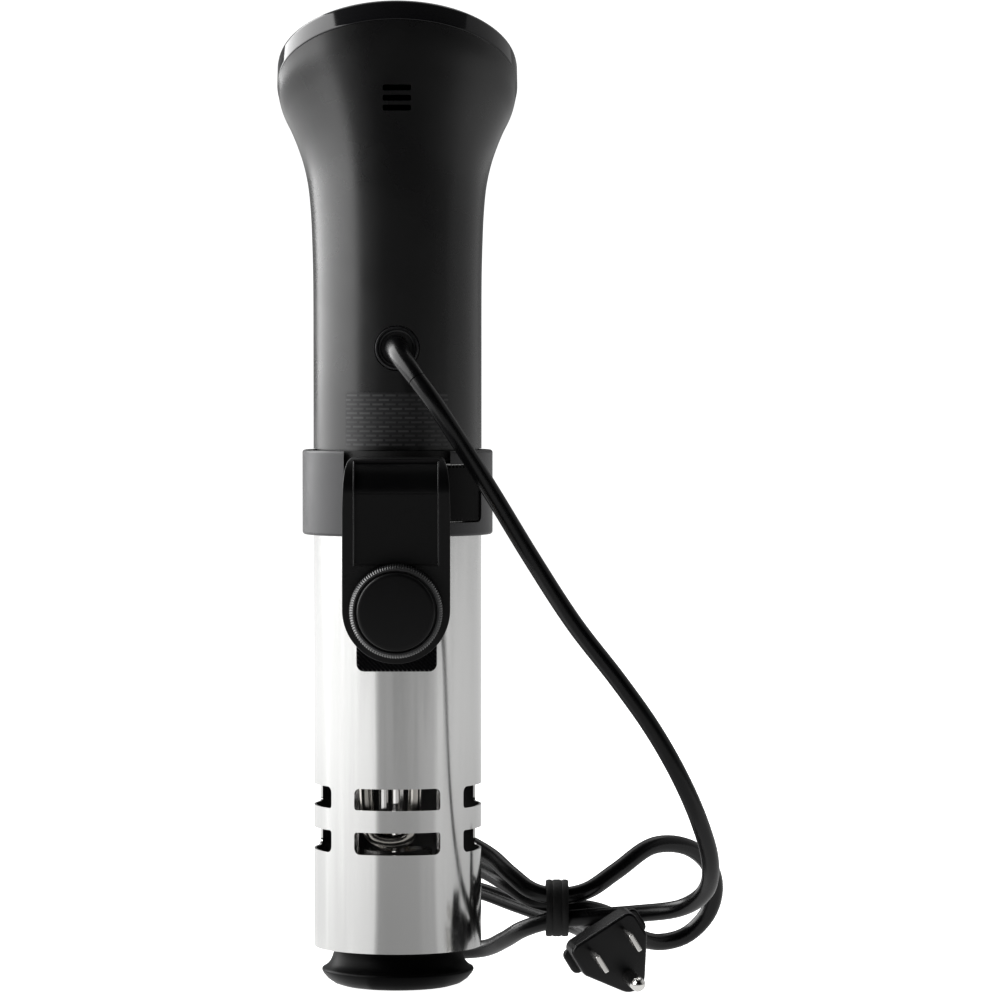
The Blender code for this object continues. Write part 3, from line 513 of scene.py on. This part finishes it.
# ---- Upper body ------------------------------------------------------------------------------
# The handle is one hollow shell moulded in satin black plastic. It is round where it stands on the
# clamp collar and flares into a wide sloping face; three vents and the lead's bore pierce its back.
SLOPE = math.tan(math.radians(36))
FACE = (296.3, 39.5, 27.7, 32.0, SLOPE)
BODY_RINGS = [
    (177.4, 27.7, 27.7, 27.7, 0.0), (206.0, 27.7, 27.7, 27.7, 0.0), (232.0, 27.75, 27.7, 27.8, 0.02),
    (245.0, 28.05, 27.7, 28.1, 0.08), (255.0, 28.5, 27.7, 28.5, 0.16), (264.0, 29.4, 27.7, 29.1, 0.26),
    (272.0, 31.1, 27.7, 29.9, 0.37), (279.5, 33.5, 27.7, 30.7, 0.48), (286.0, 36.0, 27.7, 31.3, 0.58),
    (291.5, 38.4, 27.7, 31.7, 0.66), FACE]
SHELL_WALL = 2.2
GROMMET_Z = 210.3


def tilted(row, turn, inset=0.0, lift=0.0, share=1.0):
    """A point of a tilted ring at a share of a turn; lift moves it along the ring's own normal."""
    z, half, back, front, slope = row
    a = math.tau * turn
    depth = front if math.sin(a) > 0 else back
    y = (depth - inset) * share * math.sin(a)
    spot = Vector(((half - inset) * share * math.cos(a), y, z - slope * y))
    return spot + lift * Vector((0, slope, 1)).normalized()


def wrapped(columns, rows, place):
    """Wrap a grid round an axis: place gives the point for a share of a turn and a row's index."""
    bm = bmesh.new()
    bmesh.ops.create_grid(bm, x_segments=columns, y_segments=rows - 1, size=0.5)
    for vert in bm.verts:
        row = round((vert.co.y + 0.5) * (rows - 1))
        vert.co = place(round((vert.co.x + 0.5) * columns) / columns, row)
    bmesh.ops.remove_doubles(bm, verts=bm.verts, dist=1e-4)
    bmesh.ops.recalc_face_normals(bm, faces=bm.faces)
    return bm


def between_rings(t):
    """The body's ring at t, from 0 at the bottom to the last ring, eased smoothly through them."""
    k = min(int(t), len(BODY_RINGS) - 2)
    quad = [np.array(BODY_RINGS[min(max(k + d, 0), len(BODY_RINGS) - 1)]) for d in (-1, 0, 1, 2)]
    rise = quad[2][0] - quad[1][0]
    into = (quad[2] - quad[0]) / max(quad[2][0] - quad[0][0], 1e-6) * rise
    out = (quad[3] - quad[1]) / max(quad[3][0] - quad[1][0], 1e-6) * rise
    f = t - k
    return ((2 * f**3 - 3 * f**2 + 1) * quad[1] + (f**3 - 2 * f**2 + f) * into
            + (3 * f**2 - 2 * f**3) * quad[2] + (f**3 - f**2) * out)


levels = [between_rings(t) for t in np.linspace(0, len(BODY_RINGS) - 1, 61)]
shell_rows = [(row, 0.0) for row in levels] + [(row, SHELL_WALL) for row in levels[::-4]]
shell_rows += [shell_rows[0]]
body_shell = wrapped(144, len(shell_rows), lambda turn, k: tilted(*shell_rows[k][:1], turn,
                                                                 inset=shell_rows[k][1]))
through_back = Matrix.Rotation(math.radians(90), 4, "X")
vents = [prism(rounded(9.2, 1.95, 0.6), 8, Matrix.Translation((0, -22, z)) @ through_back)
         for z in (294.6, 291.3, 288.1)]
bore = spun([(0, -34), (7.4, -34), (7.4, -20), (0, -20)], centre=(0, 0, GROMMET_Z), axis="Y",
            steps=64, closed=False)
satin_plastic = surface("satin_black_plastic", (0.0018, 0.0018, 0.002), 0.29, tone=0.06, spread=0.05,
                        grain=0.01, grain_scale=3200, sockets=[("Specular IOR Level", 0.55)])
piece("handle_shell", carved(body_shell, vents + [bore]), satin_plastic, "body",
      ["upper_body"], sharp=50)

# The shell's spigot goes down inside the skirt's top.
piece("handle_spigot", ease(spun([(24.9, 174.4), (26.6, 174.4), (26.6, 178.6), (24.9, 178.6)]), 0.3),
      satin_plastic, "body")

# ---- Control face ----------------------------------------------------------------------------
# A glossy black band snaps over the handle's sloping end and holds a flat smoked lens. A ring and a
# row of dots are printed on the lens, over the display and its touch pads.
RIM_SECTION = [(0.5, 0.3), (0.1, 0.7), (0.0, 1.2), (0.0, 7.2), (0.15, 8.2), (0.6, 8.8), (1.2, 9.0),
               (2.6, 9.0), (3.0, 8.8), (3.2, 8.4), (3.2, 6.4), (5.6, 6.4), (5.6, 0.3), (0.5, 0.3)]
gloss_black = surface("gloss_black", (0.008, 0.008, 0.009), 0.09, tone=0.1, spread=0.04, grain=0.0,
                      sockets=[("Specular IOR Level", 0.4), ("Coat Weight", 0.1), ("Coat Roughness", 0.04)])
piece("rim_band", wrapped(192, len(RIM_SECTION), lambda turn, k: tilted(
    FACE, turn, inset=RIM_SECTION[k][0], lift=RIM_SECTION[k][1])), gloss_black, "body",
      ["rim_bezel"])
LENS_SECTION = [(3.5, 6.7, 0.0), (3.5, 6.7, 1.0), (3.5, 8.4, 1.0), (3.8, 8.7, 1.0), (3.8, 8.7, 0.6),
                (3.8, 8.7, 0.0)]
piece("smoked_lens", wrapped(192, len(LENS_SECTION), lambda turn, k: tilted(
    FACE, turn, inset=LENS_SECTION[k][0], lift=LENS_SECTION[k][1], share=LENS_SECTION[k][2])),
      gloss_black, "body", ["display_lens"])
print_ink = surface("lens_print", (0.42, 0.43, 0.44), 0.5, tone=0.05, grain=0.0)
RING_SECTION = [(0.46, 8.72), (0.475, 8.76), (0.475, 8.76), (0.49, 8.72), (0.46, 8.72)]
piece("printed_ring", wrapped(160, len(RING_SECTION), lambda turn, k: tilted(
    FACE, turn, inset=3.8, lift=RING_SECTION[k][1], share=RING_SECTION[k][0])), print_ink, "body")
face_turn = Matrix.Translation((0, 0, FACE[0])) @ Matrix.Rotation(-math.radians(36), 4, "X")
for count, x in enumerate((-12, -6, 0, 6, 12)):
    dot = spun([(0, 8.7), (0.7, 8.72), (0.62, 8.76), (0, 8.76)], steps=24, closed=False)
    piece(f"printed_dot_{count}", placed(dot, face_turn @ Matrix.Translation((x, -20, 0))), print_ink,
          "body")

# ---- Cord grommet and rating label -----------------------------------------------------------
# A stepped rubber-like ring lines the bore that the lead leaves by. Below it a thin black film is
# stuck round the body's back, printed with faint ruled rows.
GROMMET_SECTION = [(3.2, -26.0), (5.1, -26.0), (5.1, -27.8), (5.4, -28.1), (5.9, -28.15), (6.1, -28.4),
                   (6.2, -28.8), (6.5, -29.0), (6.9, -28.95), (7.1, -28.6), (7.1, -23.0), (3.2, -23.0)]
piece("grommet_ring", spun(GROMMET_SECTION, centre=(0, 0, GROMMET_Z), axis="Y", steps=64),
      surface("grommet_vinyl", (0.016, 0.016, 0.017), 0.3, tone=0.1, grain=0.01), "body",
      ["cord_grommet"])


def label_look():
    """Black film with rows of short faint dashes all over it."""
    made = surface("label_film", (0.010, 0.010, 0.011), 0.4, tone=0.05, grain=0.0)
    nodes, links = made.node_tree.nodes, made.node_tree.links
    where = nodes.new("ShaderNodeTexCoord")
    turned_rows = nodes.new("ShaderNodeMapping")
    turned_rows.inputs["Rotation"].default_value = (math.radians(90), 0, 0)
    links.new(where.outputs["Object"], turned_rows.inputs["Vector"])
    dashes = nodes.new("ShaderNodeTexBrick")
    dashes.inputs["Scale"].default_value = 1.0
    dashes.inputs["Brick Width"].default_value = 0.0042
    dashes.inputs["Row Height"].default_value = 0.00145
    dashes.inputs["Mortar Size"].default_value = 0.00042
    dashes.inputs["Color1"].default_value = (0.055, 0.055, 0.056, 1)
    dashes.inputs["Color2"].default_value = (0.030, 0.030, 0.031, 1)
    dashes.inputs["Mortar"].default_value = (0.010, 0.010, 0.011, 1)
    links.new(turned_rows.outputs[0], dashes.inputs["Vector"])
    links.new(dashes.outputs["Color"], nodes["Principled BSDF"].inputs["Base Color"])
    return made


def curved_patch(inner, outer, low, high, middle, half_span, steps=40):
    """A thin sheet bent round the Z axis; its middle stands at an angle from -Y towards +X."""
    outline = []
    for radius, order in ((outer, 1), (inner, -1)):
        for a in np.linspace(-half_span, half_span, steps + 1)[::order]:
            angle = math.radians(middle + a)
            outline.append((radius * math.sin(angle), -radius * math.cos(angle)))
    return prism(outline, high - low, Matrix.Translation((0, 0, low)))


LABEL_R = (28.0, 28.3)
LABEL_Z = (178.4, 196.0)
LABEL_HALF_SPAN = 36
piece("label_sheet", curved_patch(*LABEL_R, *LABEL_Z, 0, LABEL_HALF_SPAN), label_look(), "body",
      ["rating_label"])

# ---- Steel skirt -----------------------------------------------------------------------------
# A thin tube of brushed stainless steel, rolled and seam-welded, slides over the heater and twists
# off for cleaning. Two rows of slots near its foot let the water through.
SKIRT_R = 27.6
SKIRT_WALL = 0.7
SKIRT_SPAN = (13.2, 176.4)
SLOT_ROWS = [((45.5, 52.7), (1.0, 2.0)), ((60.0, 67.0), (2.0, 1.0))]
SLOT_PLACES = [(0, 30.5), (81.5, 30), (-81.5, 30)]
SEAM = 130.0


def brushed_steel(name, colour, roughness, across=6.0, along=5200.0):
    """Stainless steel rolled lengthways and brushed round the Z axis: soft upright streaks of tone,
    and fine level scratches."""
    made = surface(name, colour, roughness, metallic=1.0, tone=0.09, spread=0.08, grain=0.0,
                   stretch=(9, 9, 0.25))
    nodes, links = made.node_tree.nodes, made.node_tree.links
    shader = nodes["Principled BSDF"]
    where = nodes.new("ShaderNodeTexCoord")
    lines = nodes.new("ShaderNodeMapping")
    lines.inputs["Scale"].default_value = (across, across, along)
    links.new(where.outputs["Object"], lines.inputs["Vector"])
    scratch = nodes.new("ShaderNodeTexNoise")
    scratch.inputs["Scale"].default_value = 1.0
    scratch.inputs["Detail"].default_value = 3.0
    links.new(lines.outputs[0], scratch.inputs["Vector"])
    relief = nodes.new("ShaderNodeBump")
    relief.inputs["Distance"].default_value = 0.004 * MM
    relief.inputs["Strength"].default_value = 0.6
    links.new(scratch.outputs["Fac"], relief.inputs["Height"])
    links.new(relief.outputs[0], shader.inputs["Normal"])
    return made


def bent(bm, radius):
    """Roll a flat sheet, drawn with X as length round the tube and Y as height off it, into a tube."""
    for vert in bm.verts:
        a = vert.co.x / radius
        r = radius + vert.co.y
        vert.co = (r * math.sin(a), -r * math.cos(a), vert.co.z)
    return bm


per_degree = SKIRT_R * math.radians(1)
start_x, end_x = (SEAM - 360) * per_degree, SEAM * per_degree
sheet = block((start_x, -SKIRT_WALL, SKIRT_SPAN[0]), (end_x, 0, SKIRT_SPAN[1]))
slot_tools = []
for (low, high), (top_r, bottom_r) in SLOT_ROWS:
    for middle, half in SLOT_PLACES:
        outline = rounded(2 * half * per_degree, high - low, (top_r, top_r, bottom_r, bottom_r))
        slot_tools.append(prism(outline, 3, Matrix.Translation((middle * per_degree, 1, (low + high) / 2))
                                @ through_back))
sheet = carved(sheet, slot_tools)
for step in range(1, 180):
    x = start_x + (end_x - start_x) * step / 180
    bmesh.ops.bisect_plane(sheet, geom=sheet.verts[:] + sheet.edges[:] + sheet.faces[:],
                           plane_co=(x, 0, 0), plane_no=(1, 0, 0))
ends = [f for f in sheet.faces if all(min(abs(v.co.x - start_x), abs(v.co.x - end_x)) < 1e-4
                                      for v in f.verts)]
bmesh.ops.delete(sheet, geom=ends, context="FACES")
steel = brushed_steel("skirt_steel", (0.50, 0.50, 0.495), 0.16)
skirt_tube = piece("skirt_tube", bent(sheet, SKIRT_R), steel, "skirt", ["skirt"],
                   sharp=30, radial=True)
# The tube's inner faces get a rougher, unpolished steel. Its colour, far darker than the outside's, is
# painted shade inside the tube.
unpolished_bore_painted_shade = surface("skirt_bore_painted_shade", (0.10, 0.10, 0.10), 0.55, metallic=1.0, tone=0.25, spread=0.2,
                      grain=0.01)
skirt_tube.data.materials.append(unpolished_bore_painted_shade)
# Faces that look in towards the axis take the darkened finish, painted shade inside the tube.
for face in skirt_tube.data.polygons:
    if face.normal.dot(Vector((*face.center.xy, 0))) < -0.9 * (SKIRT_R - 1) * MM:
        face.material_index = 1

# ---- Foot ------------------------------------------------------------------------------------
# A black moulded foot carries the wet end and stands on the pot's floor; its dished rim flares out
# below the skirt, which clicks over its neck.
FOOT_SECTION = [(0, 0), (16.0, 0), (18.6, 0.3), (21.2, 1.1), (23.2, 2.5), (24.5, 4.0), (25.0, 4.9),
                (25.1, 5.3), (24.9, 5.8), (24.3, 6.1), (23.2, 6.9), (22.3, 8.0), (21.7, 9.4),
                (21.2, 11.0), (20.8, 12.6), (20.8, 22.0), (18.6, 22.0), (18.6, 9.0), (0, 9.0)]
foot_plastic = surface("foot_plastic", (0.002, 0.002, 0.0022), 0.42, tone=0.1, grain=0.01,
                       sockets=[("Specular IOR Level", 0.1)])
piece("foot_moulding", spun(FOOT_SECTION, closed=False, steps=128), foot_plastic, "body",
      ["foot_cap"], sharp=50)

# ---- Clamp collar ----------------------------------------------------------------------------
# A grey plastic collar slides up and down the skirt on a thin rubber liner. The arm's seat is cut out
# of its back, and the release button looks out of a window beside it.
COLLAR = (149.2, 177.0)
COLLAR_R = 31.35
COLLAR_INNER = 29.4
BUTTON_ANGLE = 46.0
BUTTON_HALF = 19 / 1.25
BUTTON_Z = (153.6, 172.6)
collar_ring = ease(spun([(COLLAR_INNER, COLLAR[0]), (COLLAR_R, COLLAR[0]), (COLLAR_R, COLLAR[1]),
                         (COLLAR_INNER, COLLAR[1])], steps=144), 0.9, segments=4)
window_width = 2 * COLLAR_R * math.sin(math.radians(BUTTON_HALF))
window = prism(rounded(window_width, BUTTON_Z[1] - BUTTON_Z[0], (0.8, 0.8, 2.2, 2.2)), 10,
               Matrix.Rotation(math.radians(BUTTON_ANGLE), 4, "Z")
               @ Matrix.Translation((0, -26, sum(BUTTON_Z) / 2)) @ through_back)
arm_seat = block((-17.3, -33, COLLAR[0] - 1), (17.3, -22, COLLAR[1] + 1))
collar_plastic = surface("collar_grey", (0.034, 0.034, 0.036), 0.38, tone=0.05, grain=0.02,
                         grain_scale=3200, sockets=[("Specular IOR Level", 0.45)])
piece("collar_band", carved(collar_ring, [window, arm_seat]), collar_plastic, "clamp",
      ["collar"])
LINER_R = (27.9, 29.1)
LINER_Z = (150.2, 177.0)
liner = spun([(LINER_R[0], LINER_Z[0]), (LINER_R[1], LINER_Z[0]), (LINER_R[1], LINER_Z[1]),
              (LINER_R[0], LINER_Z[1])], steps=128)
liner_gap = curved_patch(26, 34, BUTTON_Z[0] - 1, BUTTON_Z[1] + 1, BUTTON_ANGLE, 19)
piece("rubber_liner", carved(liner, [liner_gap]), rubber, "clamp", ["collar_liner"])


def diamonds(width, height, pitch, depth, place):
    """A flat pad whose face is pressed with small diamonds; place maps (across, up, off) to a point."""
    bm = bmesh.new()
    columns, rows = round(width / pitch * 2), round(height / pitch * 2)
    bmesh.ops.create_grid(bm, x_segments=columns, y_segments=rows, size=0.5)
    for vert in bm.verts:
        i, j = round((vert.co.x + 0.5) * columns), round((vert.co.y + 0.5) * rows)
        edge = i in (0, columns) or j in (0, rows)
        peak = depth if (i + j) % 2 and not edge else 0.0
        vert.co = ((i / columns - 0.5) * width, (j / rows - 0.5) * height, peak)
    front = bm.faces[:]
    back = bmesh.ops.extrude_face_region(bm, geom=front)
    moved = [v for v in back["geom"] if isinstance(v, bmesh.types.BMVert)]
    for vert in moved:
        vert.co.z = -1.0
    for vert in bm.verts:
        vert.co = place(*vert.co)
    bmesh.ops.recalc_face_normals(bm, faces=bm.faces)
    return bm


def on_button(across, up, off):
    a = math.radians(BUTTON_ANGLE) + across / 30.9
    r = 30.7 + off if off > -0.5 else 29.6
    return Vector((r * math.sin(a), -r * math.cos(a), sum(BUTTON_Z) / 2 + up))


button_width = 2 * math.radians(BUTTON_HALF) * 30.9 - 0.9
piece("button_pad", diamonds(button_width, BUTTON_Z[1] - BUTTON_Z[0] - 0.8, 1.5, 0.45, on_button),
      surface("button_rubber", (0.0015, 0.0015, 0.0015), 0.4, tone=0.2, grain=0.03,
              sockets=[("Specular IOR Level", 0.15)]), "button", ["release_button"], sharp=20)

# ---- Clamp arm -------------------------------------------------------------------------------
# A thick L of glossy black plastic reaches out from the collar and hangs down in front of the skirt,
# rounded at its foot. A flat panel is set into its face above the knob, around the brass insert.
ARM_FACE_Y = -72.0
ARM_THICK = 7.0
ARM_HALF = 17.05
KNOB_Z = 127.8
SHOULDER = 11.0
across_x = Matrix(((0, 0, 1, 0), (1, 0, 0, 0), (0, 1, 0, 0), (0, 0, 0, 1)))
strap = [(ARM_HALF * math.cos(a), KNOB_Z + ARM_HALF * math.sin(a))
         for a in np.linspace(-math.pi, 0, 49)]
strap += [(ARM_HALF, 160.0), (ARM_HALF - 0.3, 168.0), (ARM_HALF - 0.8, 172.0), (ARM_HALF - 1.6, 174.4),
          (ARM_HALF - 2.6, 175.2), (-ARM_HALF + 2.6, 175.2), (-ARM_HALF + 1.6, 174.4),
          (-ARM_HALF + 0.8, 172.0), (-ARM_HALF + 0.3, 168.0), (-ARM_HALF, 160.0)]
inner_y = ARM_FACE_Y + ARM_THICK
hook = [(-29.4, 176.0), (ARM_FACE_Y + SHOULDER, 176.0)]
hook += [(ARM_FACE_Y + SHOULDER * (1 - math.sin(a)), 175.5 - SHOULDER * (1 - math.cos(a)))
         for a in np.linspace(0, math.pi / 2, 20)][1:]
hook += [(ARM_FACE_Y, 100), (inner_y, 100), (inner_y, 156.0), (inner_y + 0.6, 157.6),
         (inner_y + 1.4, 158.4), (inner_y + 2.5, 158.8), (-29.4, 158.8)]
arm = carved(prism(strap, 45, Matrix.Translation((0, -28.5, 0)) @ through_back),
             [prism(hook, 60, Matrix.Translation((-30, 0, 0)) @ across_x)], "INTERSECT")
bmesh.ops.dissolve_limit(arm, angle_limit=math.radians(1), verts=arm.verts, edges=arm.edges)
ease(arm, 0.7, segments=3, angle=40)
RECESS = 0.9
recess_half = 13.6
centre_y, centre_z = ARM_FACE_Y + SHOULDER, 175.5 - SHOULDER
channel = [(ARM_FACE_Y + RECESS, 141.6)]
channel += [(centre_y - (SHOULDER - RECESS) * math.sin(a), centre_z + (SHOULDER - RECESS) * math.cos(a))
            for a in np.linspace(math.pi / 2, math.radians(20), 14)]
channel += [(centre_y - (SHOULDER + 3) * math.sin(a), centre_z + (SHOULDER + 3) * math.cos(a))
            for a in np.linspace(math.radians(20), math.pi / 2, 8)]
channel += [(ARM_FACE_Y - 3, 141.6)]
arm_tools = [prism(channel, 2 * recess_half, Matrix.Translation((-recess_half, 0, 0)) @ across_x),
             spun([(0, ARM_FACE_Y - 2), (8.4, ARM_FACE_Y - 2), (8.4, inner_y + 2), (0, inner_y + 2)],
                  centre=(0, 0, KNOB_Z), axis="Y", steps=48, closed=False),
             spun([(0, ARM_FACE_Y - 2), (2.0, ARM_FACE_Y - 2), (2.0, inner_y + 2), (0, inner_y + 2)],
                  centre=(0, 0, KNOB_Z + 12), axis="Y", steps=24, closed=False),
             spun([(0, 140), (30.0, 140), (30.0, 180), (0, 180)], steps=144, closed=False)]
arm_plastic = surface("clamp_black", (0.0018, 0.0018, 0.002), 0.30, tone=0.1, grain=0.015,
                      grain_scale=2600, sockets=[("Specular IOR Level", 0.4)])
piece("arm_moulding", carved(arm, arm_tools), arm_plastic, "clamp", ["clamp_arm"])
# Two fine ribs stand along the channel's edges, from the shoulder down to the panel's foot.
for side, x in (("left", -recess_half), ("right", recess_half - 0.5)):
    rib = [(ARM_FACE_Y - 0.15, 141.6)]
    rib += [(centre_y - (SHOULDER + 0.15) * math.sin(a), centre_z + (SHOULDER + 0.15) * math.cos(a))
            for a in np.linspace(math.pi / 2, math.radians(24), 14)]
    rib += [(centre_y - (SHOULDER - 1.2) * math.sin(a), centre_z + (SHOULDER - 1.2) * math.cos(a))
            for a in np.linspace(math.radians(24), math.pi / 2, 14)]
    rib += [(ARM_FACE_Y + 1.2, 141.6)]
    piece(f"arm_rib_{side}", ease(prism(rib, 0.5, Matrix.Translation((x, 0, 0)) @ across_x), 0.14),
          surface(f"rib_gloss_{side}", (0.006, 0.006, 0.0065), 0.22, tone=0.1, grain=0.0,
                  sockets=[("Specular IOR Level", 0.8)]), "clamp")
panel_place = Matrix.Translation((0, ARM_FACE_Y + RECESS - 0.02, 153.2)) @ through_back
piece("arm_inset", prism(rounded(2 * recess_half - 0.7, 22.4, (0.5, 0.5, 1.6, 1.6)), 0.5, panel_place, 0.2),
      surface("inset_black", (0.003, 0.003, 0.0032), 0.38, tone=0.1, grain=0.015,
              sockets=[("Specular IOR Level", 0.3)]), "clamp",
      ["arm_panel"])

# ---- Clamp knob ------------------------------------------------------------------------------
# The knob screws the pad against the pot wall. Its grey ring has fine teeth all round and a bright
# chamfer; a plain domed black cap snaps into its middle.
KNOB_R = 14.7
TEETH = 110
knob_back, knob_front = ARM_FACE_Y - 0.6, ARM_FACE_Y - 14.0
KNOB_SECTION = [(4.35, knob_back, 0), (13.9, knob_back, 0), (14.5, knob_back - 0.5, 1),
                (KNOB_R, knob_back - 1.0, 1), (KNOB_R, knob_front + 1.9, 1),
                (KNOB_R - 0.3, knob_front + 1.0, 1), (KNOB_R - 0.9, knob_front + 0.25, 1),
                (KNOB_R - 1.2, knob_front, 0), (13.0, knob_front, 0), (12.7, knob_front + 0.3, 0),
                (12.7, knob_front + 3.0, 0), (4.35, knob_front + 3.0, 0), (4.35, knob_back, 0)]


def on_knob(turn, k):
    r, y, toothed = KNOB_SECTION[k]
    r -= toothed * 0.34 * (0.5 - 0.5 * math.cos(math.tau * turn * TEETH))
    return Vector((r * math.sin(math.tau * turn), y, KNOB_Z + r * math.cos(math.tau * turn)))


knob_plastic = surface("knob_grey", (0.014, 0.014, 0.015), 0.33, tone=0.08, grain=0.015,
                       sockets=[("Specular IOR Level", 0.7)])
piece("knob_wheel", wrapped(TEETH * 4, len(KNOB_SECTION), on_knob), knob_plastic, "knob",
      ["knob_ring"], sharp=42)
cap_front = knob_front - 1.6
CAP_SECTION = [(0, knob_front + 2.7), (12.3, knob_front + 2.7), (12.3, cap_front + 1.1),
               (12.15, cap_front + 0.6), (11.8, cap_front + 0.3), (11.0, cap_front + 0.14),
               (6.0, cap_front + 0.02), (0, cap_front)]
cap_plastic = surface("cap_black", (0.003, 0.003, 0.0033), 0.36, tone=0.08, grain=0.015,
                      grain_scale=2600, sockets=[("Specular IOR Level", 0.3)])
piece("knob_domed_cap", spun(CAP_SECTION, centre=(0, 0, KNOB_Z), axis="Y", steps=96, closed=False),
      cap_plastic, "knob", ["knob_cap"])

# ---- Pressure pad and screw ------------------------------------------------------------------
# A steel screw and a guide pin carry a flat plate through the arm. The plate's two faces, one bare
# and one under a sheet of rubber, are pressed with small diamonds for grip.
PAD_FACE_Y = -44.5
PAD_MIDDLE = 125.9
PAD_WIDTH, PAD_HEIGHT = 25.7, 38.0


def pad_plate(face_y, back_y, outwards):
    """A rounded plate with a diamond-pressed face, cut to its outline."""
    pressed = diamonds(PAD_WIDTH + 2, PAD_HEIGHT + 2, 1.4, 0.5, lambda x, z, off: Vector(
        (x, face_y + outwards * (off - 0.5) if off > -0.5 else back_y, PAD_MIDDLE + z)))
    near, far = max(face_y, back_y) + 1, min(face_y, back_y) - 1
    outline = prism(rounded(PAD_WIDTH, PAD_HEIGHT, 2.5), near - far,
                    Matrix.Translation((0, near, PAD_MIDDLE)) @ through_back)
    return carved(pressed, [outline], "INTERSECT")


piece("pad_plate", pad_plate(PAD_FACE_Y - 5.8, PAD_FACE_Y - 2.8, -1),
      surface("pad_gloss", (0.004, 0.004, 0.0045), 0.16, tone=0.1, grain=0.0), "pad",
      ["pad_carrier"], sharp=20)
piece("pad_rubber", pad_plate(PAD_FACE_Y, PAD_FACE_Y - 2.5, 1), rubber, "pad",
      ["pressure_pad"], sharp=20)
SCREW_R, THREAD_PITCH = 4.0, 2.5
screw_start, screw_end = -81.5, PAD_FACE_Y - 6.1
screw_stations = [(0.0, screw_start), (3.2, screw_start)]
screw_stations += [(None, y) for y in np.arange(screw_start + 0.8, screw_end - 3, THREAD_PITCH / 10)]
screw_stations += [(3.2, screw_end - 2.6), (3.2, screw_end), (0.0, screw_end)]


def on_screw(turn, k):
    r, y = screw_stations[k]
    if r is None:
        phase = (y / THREAD_PITCH - turn) % 1.0
        r = SCREW_R - 0.75 * max(0.0, 1 - abs(2 * phase - 1) * 1.35)
    return Vector((r * math.sin(math.tau * turn), y, KNOB_Z + r * math.cos(math.tau * turn)))


polished_steel = surface("bright_steel", (0.64, 0.63, 0.62), 0.2, metallic=1.0, tone=0.04, grain=0.01,
                         grain_scale=1200)
piece("threaded_screw", wrapped(40, len(screw_stations), on_screw), polished_steel, "pad",
      ["clamp_screw"], sharp=40)

# ---- Heater and pump -------------------------------------------------------------------------
# Inside the skirt a steel-sheathed heater loops down between two posts, beside the temperature and
# level probes. The pump hangs on the posts and its impeller turns just above the foot.
HEATER_LEGS = [(-9.5, -15.0), (5.0, -16.8), (-9.5, 15.0), (5.0, 16.8)]
HEATER_BOTTOM = 49.0
(x1, y1), (x2, y2), (x3, y3), (x4, y4) = HEATER_LEGS
leg_top, leg_low, bend = 176.0, HEATER_BOTTOM + 5, 5.0
heater_route = [(x1, y1, leg_top), (x1, y1, leg_low), (x1 + 1.5, y1 - 0.2, leg_low - 3.6),
                (x1 + bend, y1 - 0.6, HEATER_BOTTOM), (x2 - bend, y2 + 0.6, HEATER_BOTTOM),
                (x2 - 1.5, y2 + 0.2, leg_low - 3.6), (x2, y2, leg_low), (x2, y2, 158.0),
                (x2 + 3, 0.0, 161.0), (x4, y4, 158.0), (x4, y4, leg_low),
                (x4 - 1.5, y4 - 0.2, leg_low - 3.6), (x4 - bend, y4 - 0.6, HEATER_BOTTOM),
                (x3 + bend, y3 + 0.6, HEATER_BOTTOM), (x3 + 1.5, y3 + 0.2, leg_low - 3.6),
                (x3, y3, leg_low), (x3, y3, leg_top)]
sheath = surface("heater_sheath", (0.52, 0.50, 0.47), 0.26, metallic=1.0, tone=0.12, spread=0.12,
                 grain=0.01)
heater = lead_curve("heater_tube", smooth_route(heater_route, 1.5), 2.2, sheath)
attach(heater, "body")
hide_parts("heater_element")


def refinish(look, *nodes):
    """Give CAD pieces whose shape is already right their finish."""
    for node in nodes:
        shape = bpy.data.objects[node]
        shape.data.materials.clear()
        shape.data.materials.append(look)


refinish(polished_steel, "temperature_probe", "level_probe_low", "level_probe_high",
         "support_post_left", "support_post_right", "pump_housing", "pad_guide_pin", "drive_shaft",
         "motor_shaft", "motor_screw_left", "motor_screw_right")
refinish(rubber, "bulkhead_seal", "shaft_seal")
refinish(surface("brass_fitting", (0.72, 0.52, 0.25), 0.3, metallic=1.0, tone=0.1, grain=0.01),
         "thread_insert", "shaft_coupling", "upper_bearing", "lower_bearing")
refinish(surface("inner_black", (0.012, 0.012, 0.013), 0.4, tone=0.12, grain=0.03), "bulkhead",
         "chassis", "impeller", "cooling_fan")

# ---- Motor and boards ------------------------------------------------------------------------
# A small motor on a steel bracket drives the shaft and cools itself with a fan. Green glass-fibre
# boards carry the mains relay, the heater's switch and the display.
refinish(surface("motor_steel", (0.46, 0.46, 0.47), 0.36, metallic=1.0, tone=0.1, grain=0.02), "motor",
         "motor_bracket", "heat_sink")
refinish(surface("board_green", (0.018, 0.10, 0.045), 0.42, tone=0.3, grain=0.02), "control_board",
         "display_board")
refinish(surface("component_black", (0.02, 0.02, 0.022), 0.5, tone=0.2, grain=0.03), "relay",
         "heater_switch", "capacitor")
